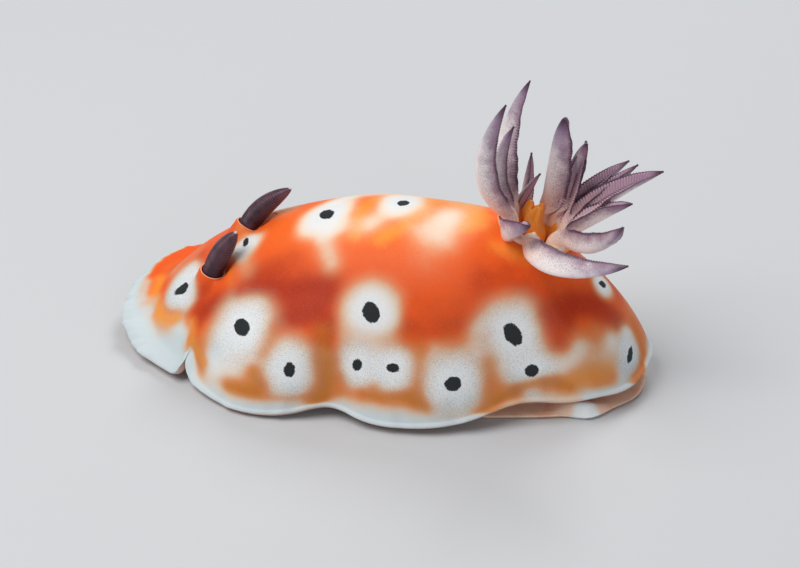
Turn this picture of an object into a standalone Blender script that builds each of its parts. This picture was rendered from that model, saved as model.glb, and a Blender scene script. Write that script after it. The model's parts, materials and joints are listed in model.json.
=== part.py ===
"""Leopard chromodoris, a sea slug, as a still life-size model that crawls on its foot.

Metres, +Z up. The head looks towards -X, the animal's left side towards -Y, and the flat sole of
the foot lies at z = 0. The body is laid out on a unit disc: X runs from -1 at the front of the
head to +1 at the tail, Y from -1 at the left margin to +1 at the right one. A bearing is the
angle round that disc, in degrees: 0 is the tail, 90 the right side, 180 the head, -90 the left.
"""

import math

import bmesh
import bpy
import numpy as np
from mathutils import Matrix, Vector

MM = 0.001
GAP = 0.3 * MM

# The mantle, the broad skirt of skin that covers the whole back.
BODY_LENGTH = 57.0 * MM
BODY_HALF_WIDTH = 13.6 * MM
HEAD_FLARE = 2.2 * MM
NECK_PINCH = 0.8 * MM
BODY_TURN = 24.0
CREST_HEAD = 10.9 * MM
CREST_BACK = 16.5 * MM
CREST_RISE_BACK = 1.0 * MM
MARGIN_HEIGHT = 0.95 * MM
RIM_THICKNESS = 0.9 * MM
LIP_DROP = 0.4 * MM
CEILING = 3.6 * MM
BODY_SEGMENTS = 96
BODY_RINGS = 26
CUT_STATIONS = (-9.5 * MM, 5.5 * MM, 21.2 * MM)

# Folds of the mantle's edge: bearing, width in degrees, tuck towards the body, lift off the floor.
EDGE_FOLDS = (
    (-166, 7, -0.5, 0.1),
    (-156, 4, 1.2, 0.4),
    (-137, 4.5, -1.8, -0.5),
    (-131, 2.8, 3.1, 1.5),
    (-114, 12, -2.2, -0.3),
    (-95, 6, 1.3, 0.7),
    (-56, 12, 1.5, 1.6),
    (-38, 9, 0.3, 1.6),
    (0, 38, -0.2, 2.0),
    (42, 12, 0.9, 0.9),
    (76, 8, 1.0, 0.6),
    (100, 12, -0.9, -0.2),
    (118, 5, 1.2, 0.8),
    (150, 30, -0.3, 3.4),
    (180, 25, 0.0, 0.8),
)

# The foot, a long flat sole with a thin skirt, under the mantle.
FOOT_FRONT = -17.2 * MM
FOOT_TAIL = 27.6 * MM
FOOT_HALF_WIDTH = 9.7 * MM
FOOT_TOP = CEILING - GAP
FOOT_EDGE = 0.45 * MM
FOOT_SKIRT = 0.35 * MM
FOOT_SQUARENESS = 2.7
FOOT_SEGMENTS = 48
FOOT_RINGS = 10
FOOT_CUT = 6.5 * MM

# The small head below the mantle's front, with its mouth and two oral tentacles.
MOUTH_STATION = -20.0 * MM
MOUTH_RADII = (2.35 * MM, 2.9 * MM, 1.75 * MM)
MOUTH_HEIGHT = 2.1 * MM
LIP_RING = (0.85 * MM, 0.34 * MM)
MOUTH_SLIT = (0.9 * MM, 0.2 * MM, 0.75 * MM)
TENTACLE_LENGTH = 2.6 * MM
TENTACLE_RADIUS = 0.5 * MM
TENTACLE_SPLAY = 52.0

# The two rhinophores, ringed feelers that stand in sheaths on the head.
# Place on the disc, lean to the tail, lean to the right, bend back along the club.
RHINOPHORES = {
    "left": (-0.60, -0.25, 16.0, -4.0, 16.0),
    "right": (-0.54, 0.10, 28.0, 16.0, 26.0),
}
CLUB_LENGTH = 5.4 * MM
CLUB_RADIUS = 1.0 * MM
STALK_RADIUS = 0.75 * MM
CLUB_LEAVES = 11
CLUB_SIDES = 12
SHEATH_BORE = 1.15 * MM
SHEATH_WALL = 0.6 * MM
SHEATH_DEPTH = 1.7 * MM
SHEATH_HEIGHT = 0.7 * MM

# The gill, a circlet of folded plumes round the anal papilla, on the back of the body.
GILL_PLACE = (0.545, 0.07)
GILL_LEAN_TAIL = 18.0
GILL_LEAN_RIGHT = 7.0
GILL_SINK = 0.7 * MM
GILL_RING = 2.85 * MM
GILL_POCKET = 4.0 * MM
GILL_POCKET_DEPTH = 1.4 * MM
GILL_COLLAR_WALL = 0.7 * MM
GILL_COLLAR_HEIGHT = 0.5 * MM
GILL_BASE_INNER = 1.75 * MM
GILL_BASE_HEIGHT = 0.9 * MM
PAPILLA_RADIUS = 1.3 * MM
PAPILLA_HEIGHT = 2.3 * MM
PLUME_STATIONS = 16
LEAF_RELIEF = 0.12
PLUME_ROOT_DEPTH = 0.5 * MM
PLUME_RISE = (0.4 * MM, 4.0 * MM)

# Each plume: bearing round the ring from the head side through the right, lean at the root,
# lean at the tip, length, sideways twist, width.
PLUMES = {
    "gill_front": (
        (330, 84, -28, 15.0, -12, 2.7),
        (350, 58, -20, 12.5, 0, 2.0),
        (8, 54, -20, 16.5, 4, 2.7),
        (28, 20, -30, 8.0, 0, 1.3),
        (42, 36, -8, 9.0, -14, 1.4),
    ),
    "gill_rear": (
        (82, 26, -42, 13.5, -16, 2.8),
        (108, 34, -2, 11.0, 15, 2.0),
        (130, 36, -6, 13.5, 8, 2.3),
        (148, 44, 18, 13.0, 20, 2.4),
        (168, 56, 16, 15.0, 32, 2.5),
        (186, 44, 34, 12.0, 20, 2.1),
        (204, 52, 40, 12.0, 26, 2.2),
        (222, 66, 38, 12.5, 24, 2.3),
        (248, 124, 30, 16.0, -44, 2.7),
        (280, 46, -60, 6.0, 0, 1.6),
    ),
}
GILL_BASE_SPANS = {"gill_front": (310.0, 56.0), "gill_rear": (66.0, 300.0)}


def smooth(start, end, value):
    t = np.clip((value - start) / (end - start), 0.0, 1.0)
    return t * t * (3.0 - 2.0 * t)


def bump(value, centre, width):
    return np.exp(-(((value - centre) / width) ** 2))


def half_width(X):
    flare = HEAD_FLARE * bump(X, -0.95, 0.30)
    pinch = NECK_PINCH * bump(X, -0.55, 0.18)
    return BODY_HALF_WIDTH + flare - pinch + 0.4 * MM * bump(X, 0.3, 0.4)


def crest(X):
    rise = (CREST_BACK - CREST_HEAD) * smooth(-0.80, 0.05, X)
    return CREST_HEAD + rise + CREST_RISE_BACK * smooth(0.0, 0.6, X)


def dome(rho, X):
    """Height of the back as a share of the crest: a round dome, with a flatter brim on the head."""
    head = smooth(-0.4, -0.9, X)
    brim = 0.08 + 0.10 * head
    edge = 0.985 - 0.10 * head
    t = np.clip(rho / edge, 0.0, 1.0)
    return (1.0 - brim) * (1.0 - t**2.5) ** 0.8 + brim * (1.0 - rho)


def edge_folds(bearing):
    tuck = 0.0 * bearing
    lift = 0.0 * bearing
    for centre, width, inward, up in EDGE_FOLDS:
        away = (bearing - centre + 180.0) % 360.0 - 180.0
        share = np.exp(-((away / width) ** 2))
        tuck = tuck + inward * MM * share
        lift = lift + up * MM * share
    return tuck, lift


def along_body(s, r):
    """The place of a point s along the bent centreline and r to its right."""
    curvature = math.radians(BODY_TURN) / BODY_LENGTH
    turn = curvature * s
    x = np.sin(turn) / curvature
    y = (1.0 - np.cos(turn)) / curvature
    y = y - 0.5 * (1.0 - math.cos(curvature * BODY_LENGTH / 2.0)) / curvature
    return x - r * np.sin(turn), y + r * np.cos(turn)


def heading(s):
    """The angle of the centreline at s, measured from +X."""
    return math.radians(BODY_TURN) / BODY_LENGTH * s


def mantle_plan(X, Y, tuck):
    rho = np.hypot(X, Y)
    bearing = np.arctan2(Y, X)
    pull = tuck * smooth(0.62, 1.0, rho)
    s = BODY_LENGTH / 2.0 * X - 0.3 * pull * np.cos(bearing)
    r = Y * half_width(X) - pull * np.sin(bearing)
    return along_body(s, r)


def mantle_top(X, Y):
    """A point of the back, for a place on the unit disc."""
    rho = np.hypot(X, Y)
    tuck, lift = edge_folds(np.degrees(np.arctan2(Y, X)))
    x, y = mantle_plan(X, Y, tuck)
    rim = RIM_THICKNESS * np.sqrt(1.0 - np.clip(rho, 0.0, 1.0) ** 10)
    z = MARGIN_HEIGHT + rim + crest(X) * dome(rho, X) + lift * smooth(0.2, 1.0, rho)
    return np.stack([x, y, z], -1)


def mantle_under(X, Y):
    """A point of the mantle's underside: a lip that hangs, then a hollow up to a flat ceiling."""
    rho = np.hypot(X, Y)
    tuck, lift = edge_folds(np.degrees(np.arctan2(Y, X)))
    x, y = mantle_plan(X, Y, tuck)
    ceiling_edge = 0.55 + 0.17 * smooth(-0.4, -0.7, X)
    margin = MARGIN_HEIGHT + lift - LIP_DROP * bump(rho, 0.966, 0.03)
    hollow = smooth(0.95, ceiling_edge, rho)
    z = margin + (CEILING - margin) * hollow
    return np.stack([x, y, z], -1)


def lean(to_tail, to_right):
    """A unit direction that leans off the vertical by two angles in degrees."""
    back = math.tan(math.radians(to_tail))
    side = math.tan(math.radians(to_right))
    return Vector((back, side, 1.0)).normalized()


def axis_frame(axis):
    """Across and fore directions of a plane set square to an axis; fore points to the head."""
    across = axis.cross(Vector((-1.0, 0.0, 0.0))).normalized() * -1.0
    fore = axis.cross(across).normalized()
    if fore.x > 0.0:
        fore = -fore
    if across.y < 0.0:
        across = -across
    return fore, across


def material(name, colour, roughness):
    made = bpy.data.materials.new(name)
    made.use_nodes = True
    shader = made.node_tree.nodes["Principled BSDF"]
    shader.inputs["Base Color"].default_value = (*colour, 1.0)
    shader.inputs["Roughness"].default_value = roughness
    shader.inputs["Metallic"].default_value = 0.0
    return made


def collection(name):
    made = bpy.data.collections.new(name)
    bpy.context.scene.collection.children.link(made)
    return made


def new_object(name, bm, finish, group):
    mesh = bpy.data.meshes.new(name)
    bm.to_mesh(mesh)
    bm.free()
    made = bpy.data.objects.new(name, mesh)
    group.objects.link(made)
    mesh.materials.append(finish)
    mesh.shade_smooth()
    return made


def bmesh_from(made):
    bm = bmesh.new()
    bm.from_mesh(made.data)
    return bm


def loft(name, rings, tip, finish, group):
    """Skins a row of closed rings with triangles, flat at the root and pointed at the tip."""
    bm = bmesh.new()
    rows = [[bm.verts.new(point) for point in ring] for ring in rings]
    for low, high in zip(rows, rows[1:]):
        for i, corner in enumerate(low):
            j = (i + 1) % len(low)
            bm.faces.new((corner, low[j], high[j]))
            bm.faces.new((corner, high[j], high[i]))
    bm.faces.new(list(reversed(rows[0])))
    point = bm.verts.new(tip)
    last = rows[-1]
    for i, corner in enumerate(last):
        bm.faces.new((corner, last[(i + 1) % len(last)], point))
    bmesh.ops.triangulate(bm, faces=bm.faces[:], quad_method="FIXED", ngon_method="EAR_CLIP")
    bmesh.ops.recalc_face_normals(bm, faces=bm.faces[:])
    return new_object(name, bm, finish, group)


def turned(name, profile, steps, centre, axis, finish, group):
    """Turns a closed profile of (radius, height) pairs round an axis, with a Screw modifier."""
    bm = bmesh.new()
    points = [bm.verts.new((radius, 0.0, height)) for radius, height in profile]
    closed = profile[0][0] > 0.0
    for first, second in zip(points, points[1:]):
        bm.edges.new((first, second))
    if closed:
        bm.edges.new((points[-1], points[0]))
    made = new_object(name, bm, finish, group)
    screw = made.modifiers.new("turn", "SCREW")
    screw.steps = steps
    screw.render_steps = steps
    screw.use_merge_vertices = True
    screw.merge_threshold = 0.00001
    fore, across = axis_frame(axis)
    right_handed = Matrix((across, fore, axis)).transposed()
    if right_handed.determinant() < 0.0:
        right_handed = Matrix((-across, fore, axis)).transposed()
    made.matrix_world = Matrix.Translation(centre) @ right_handed.to_4x4()
    bpy.context.view_layer.update()
    return made


def bake(made, weld=0.000005):
    """Applies an object's modifiers and its place, and turns its faces outwards."""
    depsgraph = bpy.context.evaluated_depsgraph_get()
    mesh = bpy.data.meshes.new_from_object(made.evaluated_get(depsgraph))
    mesh.transform(made.matrix_world)
    made.modifiers.clear()
    made.data = mesh
    made.matrix_world = Matrix.Identity(4)
    bm = bmesh_from(made)
    bmesh.ops.remove_doubles(bm, verts=bm.verts[:], dist=weld)
    bmesh.ops.recalc_face_normals(bm, faces=bm.faces[:])
    bm.to_mesh(made.data)
    bm.free()
    return made


def boolean(target, tools, operation, solver="EXACT"):
    """Joins or cuts a target with tools, bakes the result and removes the tools."""
    group = collection(f"{target.name} {operation.lower()}")
    for tool in tools:
        group.objects.link(tool)
    cut = target.modifiers.new(operation.lower(), "BOOLEAN")
    cut.operation = operation
    cut.operand_type = "COLLECTION"
    cut.collection = group
    cut.solver = solver
    bpy.context.view_layer.update()
    bake(target, weld=0.000005 if solver == "EXACT" else 0.0000002)
    for tool in tools:
        bpy.data.objects.remove(tool)
    bpy.data.collections.remove(group)
    keep_largest(target)
    return target


def keep_largest(made):
    """Keeps only the largest closed surface of an object."""
    bm = bmesh_from(made)
    left = set(bm.verts)
    islands = []
    while left:
        seed = left.pop()
        island = {seed}
        front = [seed]
        while front:
            for edge in front.pop().link_edges:
                for vertex in edge.verts:
                    if vertex not in island:
                        island.add(vertex)
                        front.append(vertex)
        left -= island
        islands.append(island)
    largest = max(islands, key=spread)
    spare = [vertex for vertex in bm.verts if vertex not in largest]
    bmesh.ops.delete(bm, geom=spare, context="VERTS")
    bm.to_mesh(made.data)
    bm.free()


def spread(island):
    points = np.array([vertex.co for vertex in island])
    return float(np.linalg.norm(points.max(0) - points.min(0)))


def cut_off(bm, point, normal):
    """Cuts away what lies beyond a plane and closes the cut with a flat face."""
    geometry = bm.verts[:] + bm.edges[:] + bm.faces[:]
    bmesh.ops.bisect_plane(
        bm, geom=geometry, dist=0.000001, plane_co=point, plane_no=normal, clear_outer=True
    )
    rim = [edge for edge in bm.edges if edge.is_boundary]
    bmesh.ops.holes_fill(bm, edges=rim, sides=0)
    bmesh.ops.triangulate(bm, faces=bm.faces[:], ngon_method="EAR_CLIP")
    bmesh.ops.recalc_face_normals(bm, faces=bm.faces[:])


def length_of(source, name, start, end, finish, group):
    """A copy of one length of a bent form, between two stations of the centreline."""
    bm = bmesh_from(source)
    for station, side in ((start, -1.0), (end, 1.0)):
        if station is not None:
            x, y = along_body(station - side * GAP / 2.0, 0.0)
            angle = heading(station)
            normal = Vector((math.cos(angle), math.sin(angle), 0.0)) * side
            cut_off(bm, Vector((x, y, 0.0)), normal)
    return new_object(name, bm, finish, group)


def shaped_sphere(name, segments, rings, place, finish, group):
    """A ball of latitude rings, each vertex moved by a function of its unit place."""
    bpy.ops.mesh.primitive_uv_sphere_add(segments=segments, ring_count=rings, radius=1.0)
    made = bpy.context.object
    made.name = name
    for holder in list(made.users_collection):
        holder.objects.unlink(made)
    group.objects.link(made)
    points = np.empty(len(made.data.vertices) * 3)
    made.data.vertices.foreach_get("co", points)
    made.data.vertices.foreach_set("co", place(points.reshape(-1, 3)).ravel())
    made.data.materials.append(finish)
    made.data.shade_smooth()
    return made


def mantle_place(points):
    X = points[:, 0]
    Y = points[:, 1]
    upper = mantle_top(X, Y)
    depth = np.arctan2(-points[:, 2], np.hypot(X, Y)) / (math.pi / 2.0)
    steep = 1.0 - 0.5 * np.clip(depth / 0.5, 0.0, 1.0) ** 1.3
    reach = np.where(depth < 0.5, steep, 1.0 - depth)
    bearing = np.arctan2(Y, X)
    lower = mantle_under(reach * np.cos(bearing), reach * np.sin(bearing))
    return np.where(points[:, 2:] > -0.0001, upper, lower)


def foot_place(points):
    rho = np.clip(np.hypot(points[:, 0], points[:, 1]), 0.0, 1.0)
    bearing = np.arctan2(points[:, 1], points[:, 0])
    power = FOOT_SQUARENESS
    square = (np.abs(np.cos(bearing)) ** power + np.abs(np.sin(bearing)) ** power) ** (-1.0 / power)
    middle = (FOOT_FRONT + FOOT_TAIL) / 2.0
    s = middle + (FOOT_TAIL - FOOT_FRONT) / 2.0 * rho * square * np.cos(bearing)
    r = FOOT_HALF_WIDTH * rho * square * np.sin(bearing)
    x, y = along_body(s, r)
    neck = (FOOT_TOP - FOOT_EDGE) * smooth(0.86, 0.50, rho)
    top = FOOT_EDGE + neck + FOOT_SKIRT * np.sqrt(1.0 - rho**8)
    curl = np.clip((rho - 0.90) / 0.10, 0.0, 1.0)
    sole = FOOT_EDGE * (1.0 - np.sqrt(1.0 - curl * curl))
    z = np.where(points[:, 2] > -0.0001, np.minimum(top, FOOT_TOP), sole)
    return np.stack([x, y, z], -1)


def build_mantle(finish, group):
    whole = shaped_sphere("mantle", BODY_SEGMENTS, BODY_RINGS, mantle_place, finish, group)
    names = ("mantle_head", "mantle_middle", "mantle_gill", "mantle_tail")
    ends = (None, *CUT_STATIONS, None)
    lengths = {}
    for name, start, end in zip(names, ends, ends[1:]):
        lengths[name] = length_of(whole, name, start, end, finish, group)
    bpy.data.objects.remove(whole)
    return lengths


def build_foot(finish, group):
    whole = shaped_sphere("foot", FOOT_SEGMENTS, FOOT_RINGS, foot_place, finish, group)
    length_of(whole, "foot_front", None, FOOT_CUT, finish, group)
    length_of(whole, "foot_tail", FOOT_CUT, None, finish, group)
    bpy.data.objects.remove(whole)


def build_mouth(finish, group):
    """The head's small muzzle, its ring of lip and the upright slit of the mouth."""
    x, y = along_body(MOUTH_STATION, 0.0)
    angle = heading(MOUTH_STATION)
    ahead = Vector((-math.cos(angle), -math.sin(angle), 0.0))
    right = Vector((-math.sin(angle), math.cos(angle), 0.0))
    centre = Vector((x, y, MOUTH_HEIGHT))

    def place(points):
        spot = np.array(centre) + np.outer(points[:, 0] * MOUTH_RADII[0], -ahead)
        spot = spot + np.outer(points[:, 1] * MOUTH_RADII[1], right)
        spot[:, 2] = spot[:, 2] + points[:, 2] * MOUTH_RADII[2]
        spot[:, 2] = np.clip(spot[:, 2], 0.5 * MM, CEILING - GAP)
        return spot

    muzzle = shaped_sphere("mouth", 20, 12, place, finish, group)
    face = (ahead - Vector((0.0, 0.0, 0.35))).normalized()
    front = centre + face * MOUTH_RADII[0] * 0.93
    ring, tube = LIP_RING
    profile = []
    for i in range(6):
        turn = math.tau * i / 6
        profile.append((ring + tube * math.cos(turn), tube * math.sin(turn)))
    lip = bake(turned("lip", profile, 14, front, face, finish, group))
    boolean(muzzle, [lip], "UNION")
    slit_up = face.cross(right).normalized()
    slit = bmesh.new()
    bmesh.ops.create_uvsphere(slit, u_segments=12, v_segments=8, radius=1.0)
    spin = Matrix((face, right, slit_up)).transposed().to_4x4()
    scale = Matrix.Diagonal((*MOUTH_SLIT[:1], MOUTH_SLIT[1], MOUTH_SLIT[2], 1.0))
    bmesh.ops.transform(slit, matrix=Matrix.Translation(front) @ spin @ scale, verts=slit.verts)
    bmesh.ops.recalc_face_normals(slit, faces=slit.faces[:])
    cutter = new_object("slit", slit, finish, group)
    boolean(muzzle, [cutter], "DIFFERENCE")
    for side, sign in (("left", -1.0), ("right", 1.0)):
        splay = math.radians(TENTACLE_SPLAY)
        out = (ahead * math.cos(splay) + right * sign * math.sin(splay)).normalized()
        reach = Vector((ahead.dot(out) * MOUTH_RADII[0], right.dot(out) * MOUTH_RADII[1], 0.0)).length
        seat = centre + out * (reach - 0.25 * MM)
        bm = bmesh_from(muzzle)
        cut_off(bm, seat, out)
        bm.to_mesh(muzzle.data)
        bm.free()
        build_tentacle(f"oral_tentacle_{side}", seat + out * GAP, out, finish, group)


def build_tentacle(name, seat, out, finish, group):
    up = Vector((0.0, 0.0, 1.0))
    side = out.cross(up).normalized()
    rings = []
    for i in range(7):
        t = i / 7.0
        radius = TENTACLE_RADIUS * (1.0 - 0.62 * t**1.5)
        centre = seat + out * TENTACLE_LENGTH * t + up * 0.35 * MM * math.sin(math.pi * t)
        ring = []
        for k in range(8):
            turn = math.tau * k / 8
            ring.append(centre + (side * math.cos(turn) + up * math.sin(turn)) * radius)
        rings.append(ring)
    tip = seat + out * TENTACLE_LENGTH
    loft(name, rings, tip, finish, group)


def rhinophore_seat(place):
    X, Y, back, right, bend = place
    seat = Vector(mantle_top(np.array(X), np.array(Y)))
    return seat, lean(back, right), bend


def build_sheaths(head, finish, group):
    """A raised sheath and a pocket in the head for each rhinophore."""
    for place in RHINOPHORES.values():
        seat, axis, bend = rhinophore_seat(place)
        outer = SHEATH_BORE + SHEATH_WALL
        inner = SHEATH_BORE * 0.5
        top = SHEATH_HEIGHT
        profile = [
            (inner, -SHEATH_DEPTH * 1.2),
            (outer * 1.25, -SHEATH_DEPTH * 0.6),
            (outer, 0.0),
            (outer * 0.97, top * 0.8),
            (outer * 0.86, top),
            (inner, top),
        ]
        collar = bake(turned("collar", profile, 20, seat, axis, finish, group))
        boolean(head, [collar], "UNION")
        bore = [
            (0.0, -SHEATH_DEPTH),
            (SHEATH_BORE * 0.9, -SHEATH_DEPTH),
            (SHEATH_BORE, -SHEATH_DEPTH * 0.8),
            (SHEATH_BORE, SHEATH_HEIGHT * 0.7),
            (SHEATH_BORE * 1.3, SHEATH_HEIGHT * 2.0),
            (0.0, SHEATH_HEIGHT * 2.0),
        ]
        pocket = bake(turned("pocket", bore, 20, seat, axis, finish, group))
        boolean(head, [pocket], "DIFFERENCE")


def build_rhinophore(name, place, finish, group):
    """A stalk and a tapered club, bent back a little, with leaves raised round it."""
    seat, axis, bend = rhinophore_seat(place)
    fore, across = axis_frame(axis)
    foot = -(SHEATH_DEPTH - GAP)
    stations = [(foot, STALK_RADIUS * 0.9), (foot * 0.5, STALK_RADIUS), (0.6 * MM, STALK_RADIUS)]
    club_start = 1.0 * MM
    for i in range(CLUB_LEAVES * 2):
        t = i / (CLUB_LEAVES * 2.0)
        swell = CLUB_RADIUS * (0.80 + 0.75 * t) * (1.0 - t**2.2) ** 0.75
        relief = 1.08 if i % 2 == 0 else 0.90
        stations.append((club_start + CLUB_LENGTH * t, max(swell * relief, 0.22 * MM)))
    rings = []
    total = club_start + CLUB_LENGTH
    for height, radius in stations:
        share = max(height, 0.0) / total
        drift = -fore * math.tan(math.radians(bend)) * total * 0.5 * share * share
        centre = seat + axis * height + drift
        ring = []
        for k in range(CLUB_SIDES):
            turn = math.tau * k / CLUB_SIDES
            ring.append(centre + (across * math.cos(turn) + fore * math.sin(turn)) * radius)
        rings.append(ring)
    drift = -fore * math.tan(math.radians(bend)) * total * 0.5
    tip = seat + axis * (total + 0.15 * MM) + drift
    loft(name, rings, tip, finish, group)


def gill_frame():
    axis = lean(GILL_LEAN_TAIL, GILL_LEAN_RIGHT)
    surface = Vector(mantle_top(np.array(GILL_PLACE[0]), np.array(GILL_PLACE[1])))
    fore, across = axis_frame(axis)
    return surface - axis * GILL_SINK, axis, fore, across


def build_gill_pocket(length, finish, group):
    """The raised collar and the round pocket from which the gill grows."""
    centre, axis, fore, across = gill_frame()
    outer = GILL_POCKET + GILL_COLLAR_WALL
    profile = [
        (1.0 * MM, -2.4 * MM),
        (outer * 1.12, -1.6 * MM),
        (outer, 0.1 * MM),
        (outer * 0.96, GILL_COLLAR_HEIGHT * 0.8),
        (outer * 0.91, GILL_COLLAR_HEIGHT),
        (1.0 * MM, GILL_COLLAR_HEIGHT),
    ]
    collar = bake(turned("collar", profile, 36, centre, axis, finish, group))
    boolean(length, [collar], "UNION")
    bore = [
        (0.0, -GILL_POCKET_DEPTH),
        (GILL_POCKET * 0.96, -GILL_POCKET_DEPTH),
        (GILL_POCKET, -GILL_POCKET_DEPTH * 0.8),
        (GILL_POCKET, GILL_COLLAR_HEIGHT * 0.6),
        (GILL_POCKET * 1.12, GILL_COLLAR_HEIGHT * 3.0),
        (0.0, GILL_COLLAR_HEIGHT * 3.0),
    ]
    pocket = bake(turned("pocket", bore, 36, centre, axis, finish, group))
    boolean(length, [pocket], "DIFFERENCE")


def plume_centres(bearing, root_lean, tip_lean, length, twist):
    """Points along a plume, and its direction at each, from the ring outwards."""
    centre, axis, fore, across = gill_frame()
    start = math.radians(bearing)
    out = fore * math.cos(start) + across * math.sin(start)
    point = centre + out * GILL_RING - axis * PLUME_ROOT_DEPTH
    walk = []
    step = (length + PLUME_ROOT_DEPTH) / PLUME_STATIONS
    for i in range(PLUME_STATIONS + 1):
        t = i / PLUME_STATIONS
        opening = smooth(*PLUME_RISE, t * (length + PLUME_ROOT_DEPTH))
        tilt = math.radians(root_lean + (tip_lean - root_lean) * t) * opening
        turn = math.radians(bearing + twist * t)
        away = fore * math.cos(turn) + across * math.sin(turn)
        direction = (axis * math.cos(tilt) + away * math.sin(tilt)).normalized()
        outward = away * math.cos(tilt) - axis * math.sin(tilt)
        walk.append((point.copy(), direction, outward))
        point = point + direction * step
    return walk


def build_plume(name, plume, finish, group):
    """A tapered leaf folded along its keel, with leaves raised on its inner faces."""
    bearing, root_lean, tip_lean, length, twist, width = plume
    walk = plume_centres(bearing, root_lean, tip_lean, length * MM, twist)
    rings = []
    for i, (point, direction, outward) in enumerate(walk[:-1]):
        t = i / PLUME_STATIONS
        sideways = direction.cross(outward).normalized()
        swell = 0.40 + 0.60 * math.sin(math.pi * min(t / 0.75, 1.0) ** 0.8 * 0.62)
        taper = (1.0 - t**2.4) ** 0.8
        size = max(width * MM * swell * taper, 0.35 * MM)
        ridge = LEAF_RELIEF if i % 2 else 0.0
        section = (
            (0.0, 0.45),
            (0.34, 0.10),
            (0.52, -0.38),
            (0.22 + ridge * 0.3, -0.12 - ridge),
            (0.0, 0.02 - ridge),
            (-0.22 - ridge * 0.3, -0.12 - ridge),
            (-0.52, -0.38),
            (-0.34, 0.10),
        )
        rings.append([point + sideways * (u * size) + outward * (v * size) for u, v in section])
    return loft(name, rings, walk[-1][0], finish, group)


def build_gill_base(name, span, finish, group):
    """An arc of the gill's fleshy base, a low rounded wall that stands in the pocket."""
    centre, axis, fore, across = gill_frame()
    first, last = span
    sweep = (last - first) % 360.0
    steps = max(4, int(sweep / 12.0))
    low = -(GILL_POCKET_DEPTH - GAP)
    outer = GILL_POCKET - GAP * 1.2
    profile = (
        (GILL_BASE_INNER, low),
        (outer, low),
        (outer, 0.0),
        (outer * 0.93, GILL_BASE_HEIGHT * 0.75),
        (outer * 0.78, GILL_BASE_HEIGHT),
        (GILL_BASE_INNER * 1.15, GILL_BASE_HEIGHT * 0.8),
    )
    bm = bmesh.new()
    rows = []
    for i in range(steps + 1):
        turn = math.radians(first + sweep * i / steps)
        away = fore * math.cos(turn) + across * math.sin(turn)
        rows.append([bm.verts.new(centre + away * radius + axis * height) for radius, height in profile])
    for near, far in zip(rows, rows[1:]):
        for i in range(len(profile)):
            j = (i + 1) % len(profile)
            bm.faces.new((near[i], near[j], far[j], far[i]))
    bm.faces.new(rows[0])
    bm.faces.new(rows[-1])
    bmesh.ops.triangulate(bm, faces=bm.faces[:])
    bmesh.ops.recalc_face_normals(bm, faces=bm.faces[:])
    return new_object(name, bm, finish, group)


def build_gill(finish, group):
    for name, plumes in PLUMES.items():
        base = build_gill_base(name, GILL_BASE_SPANS[name], finish, group)
        leaves = []
        for number, plume in enumerate(plumes, 1):
            leaves.append(build_plume(f"{name} plume {number}", plume, finish, group))
        boolean(base, leaves, "UNION", "MANIFOLD")


def build_papilla(finish, group):
    """The soft tube in the middle of the gill, with its small round opening."""
    centre, axis, fore, across = gill_frame()
    low = -(GILL_POCKET_DEPTH - GAP)
    wide = PAPILLA_RADIUS
    profile = [
        (0.0, low),
        (wide, low),
        (wide * 0.95, PAPILLA_HEIGHT * 0.3),
        (wide * 0.72, PAPILLA_HEIGHT * 0.7),
        (wide * 0.78, PAPILLA_HEIGHT * 0.92),
        (wide * 0.62, PAPILLA_HEIGHT),
        (wide * 0.38, PAPILLA_HEIGHT * 0.94),
        (wide * 0.26, PAPILLA_HEIGHT * 0.74),
        (0.0, PAPILLA_HEIGHT * 0.66),
    ]
    bake(turned("anal_papilla", profile, 16, centre, axis, finish, group))


def main():
    for old in list(bpy.data.objects):
        bpy.data.objects.remove(old)
    slug = collection("leopard chromodoris")
    mantle = material("mantle", (0.90, 0.30, 0.08), 0.35)
    foot = material("foot", (0.92, 0.80, 0.72), 0.4)
    rhinophore = material("rhinophore", (0.12, 0.04, 0.05), 0.5)
    gill = material("gill", (0.68, 0.55, 0.62), 0.45)
    papilla = material("papilla", (0.95, 0.42, 0.10), 0.4)
    lengths = build_mantle(mantle, slug)
    build_sheaths(lengths["mantle_head"], mantle, slug)
    build_gill_pocket(lengths["mantle_gill"], mantle, slug)
    build_foot(foot, slug)
    build_mouth(foot, slug)
    for side, place in RHINOPHORES.items():
        build_rhinophore(f"rhinophore_{side}", place, rhinophore, slug)
    build_gill(gill, slug)
    build_papilla(papilla, slug)


main()
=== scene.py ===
# %% [markdown]
# # A leopard chromodoris for a museum case
#
# This lesson dresses a small sea slug, 57 mm long, that has already been built as plain solids.
# The solids are loaded as a fixed frame, and every piece made here takes the place of some of
# them. The animal crawls to the left: its head is towards -X, its left side towards -Y and its
# flat sole lies on the floor at z = 0.

# %% Load the solids
import json
import math

import bmesh
import bpy
import numpy as np
from mathutils import Matrix, Vector
from mathutils.bvhtree import BVHTree

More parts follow.
